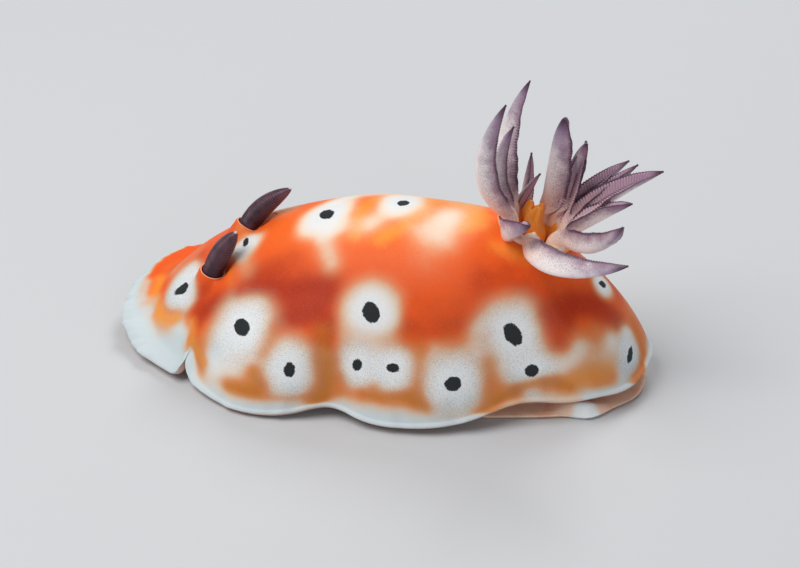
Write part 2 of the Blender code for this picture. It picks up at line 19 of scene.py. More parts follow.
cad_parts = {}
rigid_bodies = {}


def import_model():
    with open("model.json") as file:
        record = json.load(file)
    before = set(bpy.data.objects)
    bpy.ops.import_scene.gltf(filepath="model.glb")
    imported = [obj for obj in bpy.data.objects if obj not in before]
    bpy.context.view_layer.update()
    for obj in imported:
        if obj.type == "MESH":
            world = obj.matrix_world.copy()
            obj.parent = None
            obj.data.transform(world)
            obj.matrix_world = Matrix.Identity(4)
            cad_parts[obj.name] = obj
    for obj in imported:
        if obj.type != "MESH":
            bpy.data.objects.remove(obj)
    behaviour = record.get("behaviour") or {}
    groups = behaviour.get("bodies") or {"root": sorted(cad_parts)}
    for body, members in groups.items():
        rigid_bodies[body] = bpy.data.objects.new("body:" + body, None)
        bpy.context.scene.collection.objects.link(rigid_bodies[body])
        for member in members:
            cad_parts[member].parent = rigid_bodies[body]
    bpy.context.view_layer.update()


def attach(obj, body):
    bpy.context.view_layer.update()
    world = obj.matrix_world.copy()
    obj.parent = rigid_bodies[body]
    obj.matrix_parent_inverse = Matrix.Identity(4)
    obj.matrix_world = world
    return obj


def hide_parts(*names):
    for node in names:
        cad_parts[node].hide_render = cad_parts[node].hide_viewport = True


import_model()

MM = 0.001

# %% [markdown]
# ## Where the animal is seen from
#
# A close-up of a slug is taken from a hand's breadth away, a little above it. A camera that looks
# at a point inside the body is easiest to set by two angles and a distance. The long lens keeps
# the near and far sides of the animal in proportion.

# %% The camera
VIEW_AZIMUTH = math.radians(13.0)
VIEW_HEIGHT = math.radians(32.0)
VIEW_DISTANCE = 260.0 * MM
VIEW_LENS = 112.5

across_view = Vector((math.cos(VIEW_AZIMUTH), math.sin(VIEW_AZIMUTH), 0.0))
towards_viewer = Vector((
    math.sin(VIEW_AZIMUTH) * math.cos(VIEW_HEIGHT),
    -math.cos(VIEW_AZIMUTH) * math.cos(VIEW_HEIGHT),
    math.sin(VIEW_HEIGHT),
))
aim = Vector((0.0, 0.0, 8.0 * MM)) + across_view * 1.456 * MM
lens = bpy.data.cameras.new("camera")
lens.lens = VIEW_LENS
lens.sensor_width = 36.0
lens.clip_start = 0.01
camera = bpy.data.objects.new("camera", lens)
bpy.context.scene.collection.objects.link(camera)
turn = Matrix((across_view, towards_viewer.cross(across_view), towards_viewer)).transposed()
camera.matrix_world = Matrix.Translation(aim + towards_viewer * VIEW_DISTANCE) @ turn.to_4x4()
bpy.context.scene.camera = camera
print("camera at", [round(v / MM) for v in camera.location], "mm")

# %% [markdown]
# ## A map of the body
#
# Every place on the slug's back has an address on a round map: X runs from -1 at the front of the
# head to +1 at the tail, Y from -1 at the left edge to +1 at the right one. A bearing is the
# angle round that map, 0 at the tail and 90 on the right. The functions below turn an address
# into a point in space. They are the same sums that shaped the solids, so skin and solids agree.

# %% Small curves that everything uses
def smooth(start, end, value):
    t = np.clip((value - start) / (end - start), 0.0, 1.0)
    return t * t * (3.0 - 2.0 * t)


def bump(value, centre, width):
    return np.exp(-(((value - centre) / width) ** 2))


def mix(first, second, share):
    return first * (1.0 - share) + second * share


def turn_from(centre, bearing):
    """Degrees from one bearing to another, between -180 and 180."""
    return (bearing - centre + 180.0) % 360.0 - 180.0


print("from bearing 170 to -170:", turn_from(170.0, -170.0), "degrees")

# %% The proportions of the back
BODY_LENGTH = 57.0 * MM
BODY_TURN = math.radians(24.0)
MARGIN_HEIGHT = 0.95 * MM
RIM_THICKNESS = 0.9 * MM
LIP_DROP = 0.4 * MM
CEILING = 3.6 * MM


def half_width(X):
    return MM * (13.6 + 2.2 * bump(X, -0.95, 0.30) - 0.8 * bump(X, -0.55, 0.18) + 0.4 * bump(X, 0.3, 0.4))


def crest(X):
    return MM * (11.15 + 5.35 * smooth(-0.80, 0.05, X) + 1.0 * smooth(0.0, 0.6, X))


def dome(rho, X):
    head = smooth(-0.4, -0.9, X)
    brim = 0.08 + 0.10 * head
    t = np.clip(rho / (0.985 - 0.10 * head), 0.0, 1.0)
    wall = (1.0 - t**2.5) ** 0.8
    ease = 0.03 + 0.13 * head
    wall = (np.sqrt(wall**2 + ease**2) - ease) / (np.sqrt(1.0 + ease**2) - ease)
    return (1.0 - brim) * wall + brim * (1.0 - rho)


print("width at the middle of the body:", round(2.0 * half_width(0.0) / MM, 1), "mm")

# %% [markdown]
# ## Folds of the mantle's edge
#
# The mantle is the skirt of skin over the whole back. Its edge is soft, so it waves and folds as
# the animal crawls. Broad folds are listed one by one, because each is where the animal has it.
# The small ruffles between them are too many to list, so a few sine waves of different lengths
# are added up, strongest round the head. On the left the margin is cut by a narrow notch, where the
# lobe of the head slides back over the start of the flank.

# %% Broad folds and small ruffles
EDGE_FOLDS = (
    (-166, 7, -0.5, 0.1), (-156, 3.8, 0.2, 0.4), (-135, 3.1, -1.35, -0.1), (-130.7, 3.2, 1.5, 2.0),
    (-114, 12, -2.2, -0.3), (-95, 6, 1.3, 0.7), (-56, 12, 1.8, 1.6), (-38, 9, 0.3, 0.7),
    (-8, 12, 1.5, 0.0), (0, 38, -0.2, 2.0), (42, 12, 0.9, 0.9), (76, 8, 1.0, 0.6), (100, 12, -0.9, -0.2),
    (118, 5, 1.2, 0.8), (150, 30, -0.3, 3.4), (180, 25, 0.0, 0.8),
)
RUFFLES = ((19, 0.4, 0.11), (31, 1.9, 0.11), (47, 3.1, 0.09), (71, 0.8, 0.07), (103, 2.2, 0.07))
RUFFLED_BEARING = -165.0
NOTCH_BEARING = -135.0
NOTCH_SLIDE = 2.1 * MM


def edge_folds(bearing, reach):
    """How far the skin is tucked in and lifted. A fold fades up the flank, a narrow one sooner."""
    tuck = 0.0 * bearing
    lift = 0.0 * bearing
    for centre, width, inward, up in EDGE_FOLDS:
        share = bump(turn_from(centre, bearing), 0.0, width + 18.0 * (1.0 - reach))
        tuck = tuck + inward * MM * share * smooth(max(0.62, 0.96 - 0.030 * width), 1.0, reach)
        lift = lift + up * MM * share * smooth(max(0.2, 0.98 - 0.065 * width), 1.0, reach)
    from_head = turn_from(RUFFLED_BEARING, bearing)
    strength = 0.35 + 0.5 * bump(from_head, 0.0, 60.0) + 0.35 * bump(from_head, 0.0, 26.0)
    strength = strength * smooth(0.92, 1.0, reach)
    for waves, start, size in RUFFLES:
        phase = waves * np.radians(bearing) + start
        tuck = tuck + size * MM * strength * np.sin(phase)
        lift = lift + 0.6 * size * MM * strength * np.cos(phase + 1.3)
    return tuck, lift


print(len(EDGE_FOLDS), "folds and", len(RUFFLES), "waves of ruffles")

# %% From the map to the body
def along_body(s, r):
    curvature = BODY_TURN / BODY_LENGTH
    angle = curvature * s
    x = np.sin(angle) / curvature
    y = (1.0 - np.cos(angle)) / curvature
    y = y - 0.5 * (1.0 - math.cos(BODY_TURN / 2.0)) / curvature
    return x - r * np.sin(angle), y + r * np.cos(angle)


def mantle_plan(X, Y, tuck):
    bearing = np.arctan2(Y, X)
    slide = NOTCH_SLIDE * bump(np.degrees(bearing), NOTCH_BEARING, 3.7) * smooth(0.87, 1.0, np.hypot(X, Y))
    s = BODY_LENGTH / 2.0 * X - 0.3 * tuck * np.cos(bearing) + slide
    return along_body(s, Y * half_width(X) - tuck * np.sin(bearing))


def mantle_top(X, Y):
    rho = np.hypot(X, Y)
    tuck, lift = edge_folds(np.degrees(np.arctan2(Y, X)), rho)
    x, y = mantle_plan(X, Y, tuck)
    rim = RIM_THICKNESS * np.sqrt(1.0 - np.clip(rho, 0.0, 1.0) ** 10)
    return np.stack([x, y, MARGIN_HEIGHT + rim + crest(X) * dome(rho, X) + lift], -1)


def mantle_under(X, Y):
    rho = np.hypot(X, Y)
    bearing = np.degrees(np.arctan2(Y, X))
    tuck, lift = edge_folds(bearing, rho)
    x, y = mantle_plan(X, Y, tuck)
    lift = edge_folds(bearing, np.ones_like(rho))[1]
    margin = MARGIN_HEIGHT + lift - LIP_DROP * bump(rho, 0.966, 0.03)
    hollow = smooth(0.95, 0.55 + 0.17 * smooth(-0.4, -0.7, X), rho)
    return np.stack([x, y, margin + (CEILING - margin) * hollow], -1)


def back_at(X, Y):
    return Vector(mantle_top(np.array(X), np.array(Y)))


print("height of the back:", round(back_at(0.3, 0.0).z / MM, 1), "mm")

# %% [markdown]
# ## From a bmesh to a finished piece
#
# Most pieces start as a ball, because its rings of vertices can be moved to any soft closed form
# with no open end. The ball is a grid from create_grid, rolled up and welded, which is much faster
# than create_uvsphere when it is this fine. Others are profiles turned by spin. Every finished piece
# sits at the origin with its place in its mesh, takes one finish, and hides the solids that it
# replaces. Markings travel as numbers on the vertices, one named attribute for each.

# %% Helpers for making pieces
def ball(segments, rings):
    """A grid rolled into a ball of unit radius: its sides and its two ends are welded."""
    shape = bmesh.new()
    bmesh.ops.create_grid(shape, x_segments=segments, y_segments=rings, size=1.0)
    for vertex in shape.verts:
        longitude = math.pi * vertex.co.x
        latitude = math.pi / 2.0 * vertex.co.y
        flat = math.cos(latitude)
        vertex.co = (flat * math.cos(longitude), flat * math.sin(longitude), math.sin(latitude))
    bmesh.ops.remove_doubles(shape, verts=shape.verts[:], dist=0.00001)
    return shape


def points_of(shape):
    return np.array([vertex.co[:] for vertex in shape.verts])


def rows_and_turns(unit):
    """Share of the way from the ball's upper end to its lower one, and the turn round it."""
    return np.arccos(np.clip(unit[:, 2], -1.0, 1.0)) / math.pi, np.arctan2(unit[:, 1], unit[:, 0])


def put_points(shape, points):
    for vertex, point in zip(shape.verts, points):
        vertex.co = point


def finish_piece(name, shape, finish, fields=None, stands_for=()):
    bmesh.ops.recalc_face_normals(shape, faces=shape.faces[:])
    mesh = bpy.data.meshes.new(name)
    shape.to_mesh(mesh)
    shape.free()
    mesh.shade_smooth()
    mesh.materials.append(finish)
    for field, values in (fields or {}).items():
        layer = mesh.attributes.new(field, "FLOAT", "POINT")
        layer.data.foreach_set("value", np.asarray(values, dtype=np.float32))
    made = bpy.data.objects.new(name, mesh)
    bpy.context.scene.collection.objects.link(made)
    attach(made, "root")
    if stands_for:
        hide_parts(*stands_for)
    print(name, "has", sum(len(face.vertices) - 2 for face in mesh.polygons), "triangles")


# %% [markdown]
# ## Short words for shader nodes
#
# A finish is a small graph of nodes that ends in one Principled shader. The same few steps come
# back in each: read a number that the vertices carry, make noise of a given grain, blend two
# colours, shape a number. Each gets a helper with a short name. A length of noise is given in
# millimetres, so that the size of a speck can be compared with the animal.

# %% A new finish and what it reads
def new_finish(name, roughness, coat):
    finish = bpy.data.materials.new(name)
    finish.use_nodes = True
    shader = finish.node_tree.nodes["Principled BSDF"]
    shader.inputs["Roughness"].default_value = roughness
    shader.inputs["Coat Weight"].default_value = coat
    shader.inputs["Coat Roughness"].default_value = 0.22
    return finish, finish.node_tree, shader


def carried(tree, field):
    node = tree.nodes.new("ShaderNodeAttribute")
    node.attribute_name = field
    return node.outputs["Fac"]


def grain(tree, size_mm, detail=2.0, shift=0.0):
    place = tree.nodes.new("ShaderNodeTexCoord")
    moved = tree.nodes.new("ShaderNodeMapping")
    moved.inputs["Location"].default_value = (shift, shift * 0.7, -shift)
    tree.links.new(place.outputs["Object"], moved.inputs["Vector"])
    node = tree.nodes.new("ShaderNodeTexNoise")
    node.inputs["Scale"].default_value = 1.0 / (size_mm * MM)
    node.inputs["Detail"].default_value = detail
    tree.links.new(moved.outputs["Vector"], node.inputs["Vector"])
    return node.outputs["Fac"]


# %% Sums and soft steps of numbers
def feed(tree, socket, value):
    if isinstance(value, (int, float)):
        socket.default_value = value
    elif isinstance(value, tuple):
        socket.default_value = (*value, 1.0)
    else:
        tree.links.new(value, socket)


def sum_of(tree, operation, first, second, third=None):
    node = tree.nodes.new("ShaderNodeMath")
    node.operation = operation
    feed(tree, node.inputs[0], first)
    feed(tree, node.inputs[1], second)
    if third is not None:
        feed(tree, node.inputs[2], third)
    return node.outputs[0]


def step(tree, value, start, end, most=1.0):
    """A soft step from 0 at the start to most at the end."""
    node = tree.nodes.new("ShaderNodeMapRange")
    node.interpolation_type = "SMOOTHSTEP"
    node.inputs["From Min"].default_value = start
    node.inputs["From Max"].default_value = end
    node.inputs["To Max"].default_value = most
    tree.links.new(value, node.inputs["Value"])
    return node.outputs["Result"]


def roughened(tree, value, noise, share):
    """A value with noise round its middle added."""
    return sum_of(tree, "MULTIPLY_ADD", sum_of(tree, "SUBTRACT", noise, 0.5), share, value)


# %% Colours, flesh and relief
def blend(tree, share, first, second):
    node = tree.nodes.new("ShaderNodeMix")
    node.data_type = "RGBA"
    feed(tree, node.inputs[0], share)
    feed(tree, node.inputs[6], first)
    feed(tree, node.inputs[7], second)
    return node.outputs[2]


def soften(shader, weight, radii, scale_mm):
    """Light goes a little way into flesh and comes out redder."""
    shader.inputs["Subsurface Weight"].default_value = weight
    shader.inputs["Subsurface Radius"].default_value = radii
    shader.inputs["Subsurface Scale"].default_value = scale_mm * MM


def close_finish(finish, shader, colour, height, depth_mm, strength):
    """Links the colour and the relief to the shader, and says how large the finish has grown."""
    tree = finish.node_tree
    node = tree.nodes.new("ShaderNodeBump")
    node.inputs["Strength"].default_value = strength
    node.inputs["Distance"].default_value = depth_mm * MM
    tree.links.new(height, node.inputs["Height"])
    tree.links.new(node.outputs["Normal"], shader.inputs["Normal"])
    tree.links.new(colour, shader.inputs["Base Color"])
    print(finish.name, "has", len(tree.nodes), "nodes")
    return finish


# %% [markdown]
# ## The colours of the skin
#
# The back is orange, from yellow-orange at the brim of the head to deep red-orange on the flanks.
# Each black spot lies in a white halo. The white fades through beige before it is orange, so the
# blend has three stops and not two. A narrow white margin runs round the edge, with a band of
# ochre inside it. The soft fields come with the vertices, and noise roughens their borders so that
# they look grown. Only the black spots need a crisp edge, which the shader cuts from a distance
# that also comes with the vertices.

# %% The finish of the mantle
ORANGE = (0.90, 0.112, 0.012)
TOP_ORANGE = (1.0, 0.160, 0.016)
DEEP_RED = (0.47, 0.030, 0.002)
YELLOW_ORANGE = (0.98, 0.32, 0.030)
OCHRE = (0.60, 0.185, 0.022)
BEIGE = (0.74, 0.45, 0.235)
PEACH = (0.98, 0.66, 0.40)
SPOT_BLACK = (0.020, 0.023, 0.026)
SPECKLE_GREY = (0.24, 0.27, 0.33)
GLINT = (0.95, 0.90, 0.84)
COLLAR_PEACH = (0.93, 0.62, 0.42)
SKIN_WHITE = (0.86, 0.875, 0.88)
# Painted shade: a bluish grey copy of the white, used where shade falls.
SHADED_BLUISH_WHITE = (0.62, 0.70, 0.73)
UNDER_PINK = (0.66, 0.44, 0.37)


def mantle_finish():
    finish, tree, shader = new_finish("mantle skin", 0.48, 0.04)
    cloud = grain(tree, 2.6, 3.0)
    fine = grain(tree, 0.45, 4.0, 0.3)
    dust = grain(tree, 0.10, 2.0, 0.7)

    def rough(field, wide, narrow):
        return roughened(tree, roughened(tree, carried(tree, field), cloud, wide), fine, narrow)

    colour = blend(tree, carried(tree, "top"), ORANGE, TOP_ORANGE)
    colour = blend(tree, step(tree, rough("deep", 0.5, 0.1), 0.05, 1.1), colour, DEEP_RED)
    colour = blend(tree, step(tree, rough("yolk", 0.4, 0.15), 0.10, 0.95), colour, YELLOW_ORANGE)
    colour = blend(tree, step(tree, rough("ochre", 0.35, 0.2), 0.05, 0.90), colour, OCHRE)
    pale = rough("white", 0.16, 0.07)
    halfway = blend(tree, carried(tree, "top"), BEIGE, PEACH)
    colour = blend(tree, step(tree, pale, 0.00, 0.72), colour, halfway)
    # Painted shade: the white turns bluish grey where the skin carries painted shade.
    white = blend(tree, step(tree, rough("painted_shade_blue", 0.2, 0.1), 0.1, 0.9), SKIN_WHITE, SHADED_BLUISH_WHITE)
    colour = blend(tree, step(tree, pale, 0.28, 1.02), colour, white)
    near_spot = step(tree, carried(tree, "dust"), 0.0, 1.0, 0.36)
    speckle = sum_of(tree, "MULTIPLY", step(tree, dust, 0.47, 0.63), near_spot)
    colour = blend(tree, speckle, colour, SPECKLE_GREY)
    colour = blend(tree, step(tree, dust, 0.42, 0.30, 0.05), colour, GLINT)
    edge = roughened(tree, roughened(tree, carried(tree, "spot"), fine, 0.30), dust, 0.30)
    colour = blend(tree, step(tree, edge, 0.04, -0.04), colour, SPOT_BLACK)
    colour = blend(tree, step(tree, carried(tree, "collar"), 0.55, 1.0, 0.75), colour, COLLAR_PEACH)
    colour = blend(tree, carried(tree, "under"), colour, UNDER_PINK)
    shader.inputs["Specular IOR Level"].default_value = 0.20
    soften(shader, 0.18, (1.0, 0.45, 0.25), 0.7)
    bumps = sum_of(tree, "MULTIPLY_ADD", grain(tree, 0.8, 4.0, 0.5), 0.7, dust)
    return close_finish(finish, shader, colour, bumps, 0.05, 0.6)


mantle_skin = mantle_finish()

# %% [markdown]
# ## Places of the markings
#
# Each marking is a place on the map of the body with a size in millimetres. The left side is as
# the living animal shows it. The right side can't be seen, so it has a like pattern of its own,
# not a mirror image, because no slug is quite the same on both sides.

# %% Black spots: place, half length, half width, turn of the long axis, radius of the white halo
SPOTS = (
    (-0.726, -0.253, 1.20, 0.56, -75, 2.5), (-0.716, -0.258, 0.72, 0.66, 0, 2.0),
    (-0.497, -0.126, 0.68, 0.38, -14, 1.8), (-0.201, -0.037, 1.15, 0.71, -41, 2.5),
    (0.068, 0.078, 0.74, 0.58, 18, 2.0), (-0.404, -0.690, 1.14, 0.84, -45, 3.4),
    (0.038, -0.709, 1.10, 0.85, -27, 2.65), (0.508, -0.679, 1.32, 0.80, -64, 3.2),
    (-0.211, -0.874, 0.84, 0.58, 30, 2.85), (0.007, -0.885, 0.66, 0.52, 6, 2.15),
    (0.125, -0.866, 0.70, 0.45, 84, 2.15), (0.321, -0.866, 0.87, 0.77, 65, 3.0),
    (0.577, -0.740, 0.72, 0.66, 24, 2.3), (0.905, -0.297, 0.89, 0.44, -25, 1.8),
    (0.800, -0.045, 0.62, 0.40, 37, 1.3),
    (-0.640, 0.430, 0.85, 0.50, -50, 2.2), (-0.380, 0.560, 0.86, 0.76, 0, 3.0),
    (-0.020, 0.640, 1.00, 0.84, 20, 3.0), (0.400, 0.640, 1.10, 0.86, 35, 3.0),
    (-0.230, 0.870, 0.80, 0.62, 0, 2.5), (0.110, 0.880, 0.70, 0.55, 90, 2.3),
    (0.330, 0.880, 0.62, 0.50, 0, 2.0), (0.600, 0.730, 0.80, 0.66, 0, 2.5),
    (0.860, 0.350, 0.66, 0.50, 0, 1.7),
)
print(len(SPOTS), "black spots")

# %% [markdown]
# ## Brush strokes
#
# The soft colours between the halos run in bands as much as in patches, so each is laid down as a
# brush stroke: the radius of the brush in millimetres, how much colour is on it in percent, and
# then the places it passes, X and Y in hundredths of the map. A stroke with one place is a round
# dab. Bare strokes take white away. Each stroke can be moved without touching the others, which a
# single noise texture would not allow.

# %% Pale, deep and bare strokes
PALE_STROKES = (
    (1.7, 36, -48.8, -30, -45.5, -38, -44, -44), (1.4, 48, -17, -22, -17.3, -31.7, -14.8, -40, -12.4, -48),
    (1.6, 42, -25, -18, -6, -24), (1.6, 50, -2, -19, 4, -5), (2.2, 48, 23, -23, 26, -12, 27, 5),
    (2, 40, 15, -19, 22, -6), (2.6, 7, 6, -54, 30, -55), (1.6, 20, -80, -3, -74, 8),
    (1.8, 15, 20, -42, 26, -34), (1.7, 60, -20, 14, -17, 24), (1.6, 50, 7, 17, 9, 28),
    (1.2, 45, -84, -40, -87, -26), (0.7, 55, -93.5, 0, -91.5, -13), (1.5, 80, -70, -62, -74, -58),
    (1.1, 85, -69, -50, -66.8, -56), (1.5, 55, -47, -80, -40, -82, -36, -83), (0.9, 60, -50, -81, -45, -85),
    (0.9, 45, -88.5, -15, -87, -22), (1, 35, -70, -15, -72, -10), (1.1, 50, -47, -92, -36, -94, -24, -96.5),
    (0.55, 90, -67.2, -66, -65, -70, -62.5, -74.5, -59, -78), (0.9, 45, 26, -95.5, 40, -91.5, 52, -85),
    (1.4, 30, -4, -80, 0, -81), (1.2, 35, 20, -86, 24, -80), (1.4, 40, 43, -80, 40, -72),
    (1.2, 50, 66, -66, 70, -60, 72, -54), (2.4, 34, 70, -60, 76, -52, 81, -44.8),
    (1.2, 60, 83, -42, 83.5, -36), (0.8, 60, -85.5, -16, -84.5, -24), (1.5, 35, -84, 8, -82, 16),
    (1.4, 55, 60, -79, 68, -72, 74, -65.5), (1.5, 85, -46, -73, -49, -76.5),
    (0.9, 75, 76.7, -64, 81, -58.5, 85.5, -51.5, 88, -47),
    (1, 70, 89.6, -21.9, 88.3, -30.5, 87.8, -37.3, 87.7, -42.3), (2.4, 50, -15, 38, 2, 30),
    (2.2, 40, 20, 35, 30, 28), (1.8, 40, -46, 36, -40, 24), (1.4, 45, 74, 52, 82, 40),
)
DEEP_STROKES = (
    (1.2, 40, -60, -59, -62.8, -52, -63.5, -45), (1.5, 90, -59, -52, -46, -55.5),
    (2.2, 100, -38, -54, -30, -58, -22, -61, -13, -61), (1.8, 100, -26, -70, -15, -69),
    (1.4, 80, -10, -76, -11, -84), (2, 45, -38, -46, -28, -42), (1.6, 50, 14, -74, 25, -74, 38, -69),
    (2, 20, 20, -64, 34, -62), (2, 55, 40, -50, 47.8, -43.5, 53.2, -48.8),
    (1.9, 75, 61.2, -50.1, 64.1, -53.5, 65.8, -58.6),
    (1.9, 100, 67, -44, 70, -36, 75.2, -29, 80.9, -24.9, 85.9, -22), (1.1, 45, -70, -3, -68.7, -16.7),
    (1.3, 60, -66.5, -38.8, -59.3, -40.4), (1.6, 30, -88, 10, -80, 20), (2.2, 90, -30, 50, -18, 50),
    (2.4, 80, 12, 52, 26, 56), (2.2, 90, 56, 50, 68, 44), (1.6, 70, -56, 48, -50, 50),
    (1.6, 60, 80, 16, 86, 5),
)
BARE_STROKES = (
    (1, 95, -56, -5, -51, 3, -46, 0), (0.9, 95, -56.5, -44, -53, -36, -54, -28),
    (1.6, 70, 61.2, -51, 65, -59), (1.3, 80, -45, -49, -34, -51), (1, 60, 17, -76, 18, -66),
    (1.1, 60, -79, -33.5, -75, -39, -71.5, -43),
)
print(len(PALE_STROKES), "pale,", len(DEEP_STROKES), "deep and", len(BARE_STROKES), "bare strokes")

# %% Yellow-orange and ochre strokes
YOLK_STROKES = (
    (1.1, 75, -89, 3, -87, -10.8, -83.5, -21, -81.2, -27),
    (1.05, 100, -79.5, -33, -74.5, -40.9, -70.5, -43.8),
    (0.6, 100, -65, -62.2, -62.3, -65, -59.4, -70.7, -56.2, -73.9, -53, -76.5),
    (1.1, 60, -61, -62, -63, -54), (1.2, 75, -6, -30, -7, -10, -5, 10),
    (1.2, 75, 3, -32, 9, -22, 13, -10, 15, 6, 16, 22), (1.2, 75, 31, -12, 33, 2, 32, 12),
    (1.5, 60, 22, 20, 30, 26), (1.8, 55, 28.6, 31.4, 32.7, 14.6, 35.9, -2.4),
    (0.9, 40, -55, -28, -51.3, -36, -51, -42), (1.3, 50, 42, -24, 53, -26), (1.5, 45, -53, -2, -50, 8),
    (3.6, 50, 54.5, 7), (1.7, 95, 73, -62, 77, -57, 80.5, -51, 82.5, -45),
    (0.7, 40, 94, -10, 96, -14.6, 95, -23.4), (0.7, 20, -90, 14, -84, 28, -76, 42, -66, 52),
    (0.8, 45, 14, -93.5, 22, -92.5), (1, 40, 44, -86, 52, -82), (1.1, 45, 62, -74, 68, -69),
    (0.9, 35, -36, -83.5, -30, -85),
)
OCHRE_STROKES = (
    (1.2, 100, -40.5, -87.2, -35.7, -88.5, -31.9, -89.8), (1.05, 85, -32.5, -85, -30.5, -88),
    (0.7, 20, -52, -80, -46, -84), (0.5, 40, -32, -91, -20, -94.5, -12, -96.5),
    (1.3, 95, -13, -98.5, -10, -94, -10, -89), (1.6, 50, -10, -87, -11.5, -79),
    (0.75, 70, 3, -94.8, 10, -94, 16, -92.5), (0.8, 45, 6.6, -92.5), (0.9, 50, -5.5, -93),
    (0.8, 85, 19, -92, 24, -93.7), (0.6, 60, 27, -94.5, 33, -93, 42, -89.5),
    (0.7, 75, 43, -88.5, 48, -85, 53, -81.5), (0.95, 60, 20.5, -93, 21, -80),
    (1.1, 65, 44.5, -86, 43.5, -80), (1.3, 30, 43, -78, 42, -73),
    (0.75, 80, 52, -82, 60, -75, 65.5, -70, 70, -67), (1, 60, 63, -73, 66, -70),
    (0.75, 65, 92.5, -6, 94.8, -11.4, 96.1, -16, 95.2, -23.4, 92.5, -35), (1.1, 55, -30, -80, -28, -74),
    (1.2, 20, -2, -80, 16, -79), (0.8, 90, -40, 87, -28, 92), (0.7, 85, -12, 96, 2, 96, 12, 94),
    (0.7, 85, 24, 94, 36, 91, 48, 85), (0.6, 75, 60, 77, 74, 62, 86, 44), (0.6, 60, -10, 90, -9, 80),
)
print(len(YOLK_STROKES), "yellow-orange and", len(OCHRE_STROKES), "ochre strokes")

# %% Where the white margin begins on the map, by bearing
MARGIN_STARTS = (
    (-180, 0.955), (-174, 0.943), (-167, 0.92), (-160, 0.895), (-154, 0.883), (-149, 0.873),
    (-143, 0.858), (-139, 0.862), (-136.5, 0.885), (-135, 0.925), (-133, 0.95), (-131, 0.96),
    (-126, 0.964), (-118, 0.97), (-108, 0.97), (-101, 0.98), (-97, 0.992), (-92, 0.972), (-86, 0.964),
    (-80, 0.964), (-74, 0.974), (-68, 0.982), (-60, 1.02), (-46, 1.03), (-40, 0.988), (-26, 0.988),
    (-20, 1.02), (-12, 0.99), (0, 0.978), (30, 0.975), (60, 0.972), (90, 0.97), (120, 0.968),
    (140, 0.972), (160, 0.972), (172, 0.966), (180, 0.955),
)


def margin_start(bearing):
    turns, starts = zip(*MARGIN_STARTS)
    return np.interp(bearing, turns, starts)


print("on the left side the margin begins at", round(float(margin_start(-90.0)), 3))

# %% Spots, their halos and the dust round them
def spot_field(points):
    """Distance in millimetres to the nearest spot's edge, the white of the halos and their dust."""
    nearest = np.full(len(points), 9.0)
    white = np.zeros(len(points))
    dust = np.zeros(len(points))
    for X, Y, long, wide, turn_deg, halo in SPOTS:
        seat = back_at(X, Y)
        ahead = (back_at(X + 0.01, Y) - back_at(X - 0.01, Y)).normalized()
        aside = (back_at(X, Y + 0.01) - back_at(X, Y - 0.01)).normalized()
        upright = ahead.cross(aside).normalized()
        aside = upright.cross(ahead)
        angle = math.radians(turn_deg)
        along = aside * math.cos(angle) + ahead * math.sin(angle)
        off = (points - np.array(seat)) / MM
        a = off @ np.array(along)
        b = off @ np.array(upright.cross(along))
        c = off @ np.array(upright)
        distance = np.sqrt(a * a + b * b + c * c) / halo
        reach = np.sqrt((a / long) ** 2 + (b / wide) ** 2 + (c / long) ** 2)
        nearest = np.minimum(nearest, (reach - 1.0) * wide)
        white = 1.0 - (1.0 - white) * (1.0 - smooth(1.90, 0.30, distance))
        low = smooth(12.5, 8.0, seat.z / MM)
        dust = np.maximum(dust, 0.45 * smooth(1.15, 0.30, distance) + low * bump(distance, 0.95, 0.42))
    return nearest, white, dust


first_spot = np.array([back_at(*SPOTS[0][:2])])
print("edge, white and dust at the first spot:", [round(float(v[0]), 2) for v in spot_field(first_spot)])

# %% Strokes on the skin
def distance_to_path(points, path):
    nearest = np.full(len(points), 1.0)
    for start, end in zip(path, path[1:] or path):
        run = end - start
        share = np.clip((points - start) @ run / max(run @ run, 1e-12), 0.0, 1.0)
        nearest = np.minimum(nearest, np.linalg.norm(points - start - np.outer(share, run), axis=1))
    return nearest / MM


def stroke_field(points, strokes):
    """Colour left by soft brush strokes, from 0 to 1."""
    total = np.zeros(len(points))
    for radius, percent, *numbers in strokes:
        places = np.array(numbers).reshape(-1, 2) / 100.0
        path = [np.array(back_at(*places[0]))]
        for first, second in zip(places, places[1:]):
            path.extend(np.array(back_at(*mix(first, second, share))) for share in (0.5, 1.0))
        laid = percent / 100.0 * bump(distance_to_path(points, path), 0.0, radius)
        total = 1.0 - (1.0 - total) * (1.0 - laid)
    return total


print("yellow at the first spot:", round(float(stroke_field(first_spot, YOLK_STROKES)[0]), 2))

